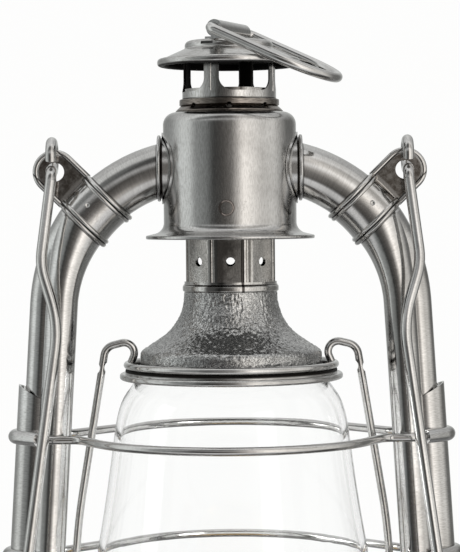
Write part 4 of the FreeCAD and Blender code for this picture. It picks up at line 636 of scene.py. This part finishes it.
def along_tube_group():
    """Place along the tubes: Z runs up the legs and round the bends. Reach is from the bend's
    middle; Out and Across are from there too, out through the clamp and beside it."""
    group = new_group("along_tube", {}, {"Place": "Vector", "Reach": "Float", "Out": "Float",
                                         "Across": "Float"})
    spot = split(group, object_place(group))
    side = math_node(group, "SUBTRACT", math_node(group, "ABSOLUTE", spot["X"]), BEND_CENTRE)
    rise = math_node(group, "SUBTRACT", spot["Z"], BEND_LEVEL)
    turn = math_node(group, "ARCTAN2", math_node(group, "MAXIMUM", rise, 0.0), side)
    along = math_node(group, "MULTIPLY_ADD", turn, BEND_RADIUS,
                      math_node(group, "MINIMUM", rise, 0.0))
    place = node(group, "ShaderNodeCombineXYZ", X=spot["X"], Y=spot["Y"], Z=along).outputs[0]
    sine, cosine = math.sin(CLAMP_TURN), math.cos(CLAMP_TURN)
    out = math_node(group, "MULTIPLY_ADD", side, sine, math_node(group, "MULTIPLY", rise, cosine))
    across = math_node(group, "MULTIPLY_ADD", side, cosine,
                       math_node(group, "MULTIPLY", rise, -sine))
    node(group, "NodeGroupOutput", Place=place, Reach=far(group, side, rise), Out=out,
         Across=math_node(group, "ABSOLUTE", across))
    return group


along_tube = along_tube_group()
TUBE = (0.76, 0.758, 0.752), (0.64, 0.633, 0.62), (0.22, 0.21, 0.197)
tube_sheet = metal_finish("tube_sheet", TUBE, (0.25, 0.25, 2.5), gloss=0.08, mottle=0.25,
                          smudge=0.3, pits=0.35, relief=0.0012 * MM)
tree = tube_sheet.node_tree
tube = node(tree, "ShaderNodeGroup", set_node_tree=along_tube).outputs
tree.links.new(tube["Place"], tree.nodes["finish"].inputs["Place"])
sideways = math_node(tree, "ABSOLUTE", split(tree, object_place(tree))["X"])
# Painted shade: dark lines beside the clamps' edges and just outside the collars' flanges.
by_clamp = fade(tree, tube["Across"], CLAMP_END + SHADE_EDGE, CLAMP_END + SHADE_CORE)
by_flange = fade(tree, sideways, FLANGE_FRONT + SHADE_FAR_EDGE, FLANGE_FRONT + SHADE_CORE)
dirt_and_crevice_shade = product(tree, math_node(tree, "MAXIMUM", by_clamp, by_flange), SHADE_SHARE)
stain(tree, dirt_and_crevice_shade, (0.03, 0.027, 0.024, 1))
dress(tube_sheet, "air_tube_right", "air_tube_left", "tube_sleeve_right", "tube_sleeve_left")

# Bail clamps: beaded bands round the tubes, each pinched into an ear for the bail. The ears are
# dull and brown beside the bright bands, and the valley between the beads is darkened with painted
# shade.

EAR_START, EAR_FULL, EAR_CENTRE, EAR_FLAT = 57.9 * MM, 58.5 * MM, 65.45 * MM, 5.0 * MM
EAR_FADE, EAR_SHARE = 0.3 * MM, 0.85
VALLEY_PLACE, VALLEY_EDGE, VALLEY_CORE, VALLEY_SHARE = 5.42 * MM, 0.35 * MM, 0.12 * MM, 0.85
CLAMP = (0.74, 0.737, 0.73), (0.64, 0.63, 0.615), (0.24, 0.225, 0.205)
clamp_sheet = metal_finish("clamp_sheet", CLAMP, UNBRUSHED, gloss=0.1, mottle=0.25, smudge=0.4,
                           pits=0.35, relief=0.005 * MM)
tree = clamp_sheet.node_tree
tube = node(tree, "ShaderNodeGroup", set_node_tree=along_tube).outputs
# Painted shade: a dark line in the valley between the beads.
between = math_node(tree, "ABSOLUTE", math_node(tree, "SUBTRACT", tube["Across"], VALLEY_PLACE))
stain(tree, fade(tree, between, VALLEY_EDGE, VALLEY_CORE, high=VALLEY_SHARE), CHAR_AND_SHADE_BLACK)
beyond = math_node(tree, "MAXIMUM", math_node(tree, "SUBTRACT", tube["Out"], EAR_CENTRE), 0.0)
flat = fade(tree, far(tree, tube["Across"], beyond), EAR_FLAT + EAR_FADE, EAR_FLAT)
ear = fade(tree, tube["Reach"], EAR_START, EAR_FULL, high=EAR_SHARE)
mottled = clouds(tree, object_place(tree), scale=700.0, detail=4.0, roughness=0.6)
patches = fade(tree, mottled, empty=0.35, full=0.6, low=0.45)
stain(tree, product(tree, ear, flat, patches), (0.1, 0.08, 0.062, 1))
dress(clamp_sheet, "bail_clamp_right", "bail_clamp_left")

# Guard wires, basket wire and bail: hard-drawn, zinc-coated wire, bent to shape. The guard wires
# lie in the sleeves' beads, and the bail hangs in the clamps' ears by its open hooks.

dress(bright_wire, "guard_wire_upper", "guard_wire_lower", "basket_wire", "bail")

# Lift lever, its post and its pin: stamped strip beside the right air tube. The lever turns on the
# pin and raises the basket.

dress(bright_sheet, "lift_lever", "lever_post", "lever_pin")
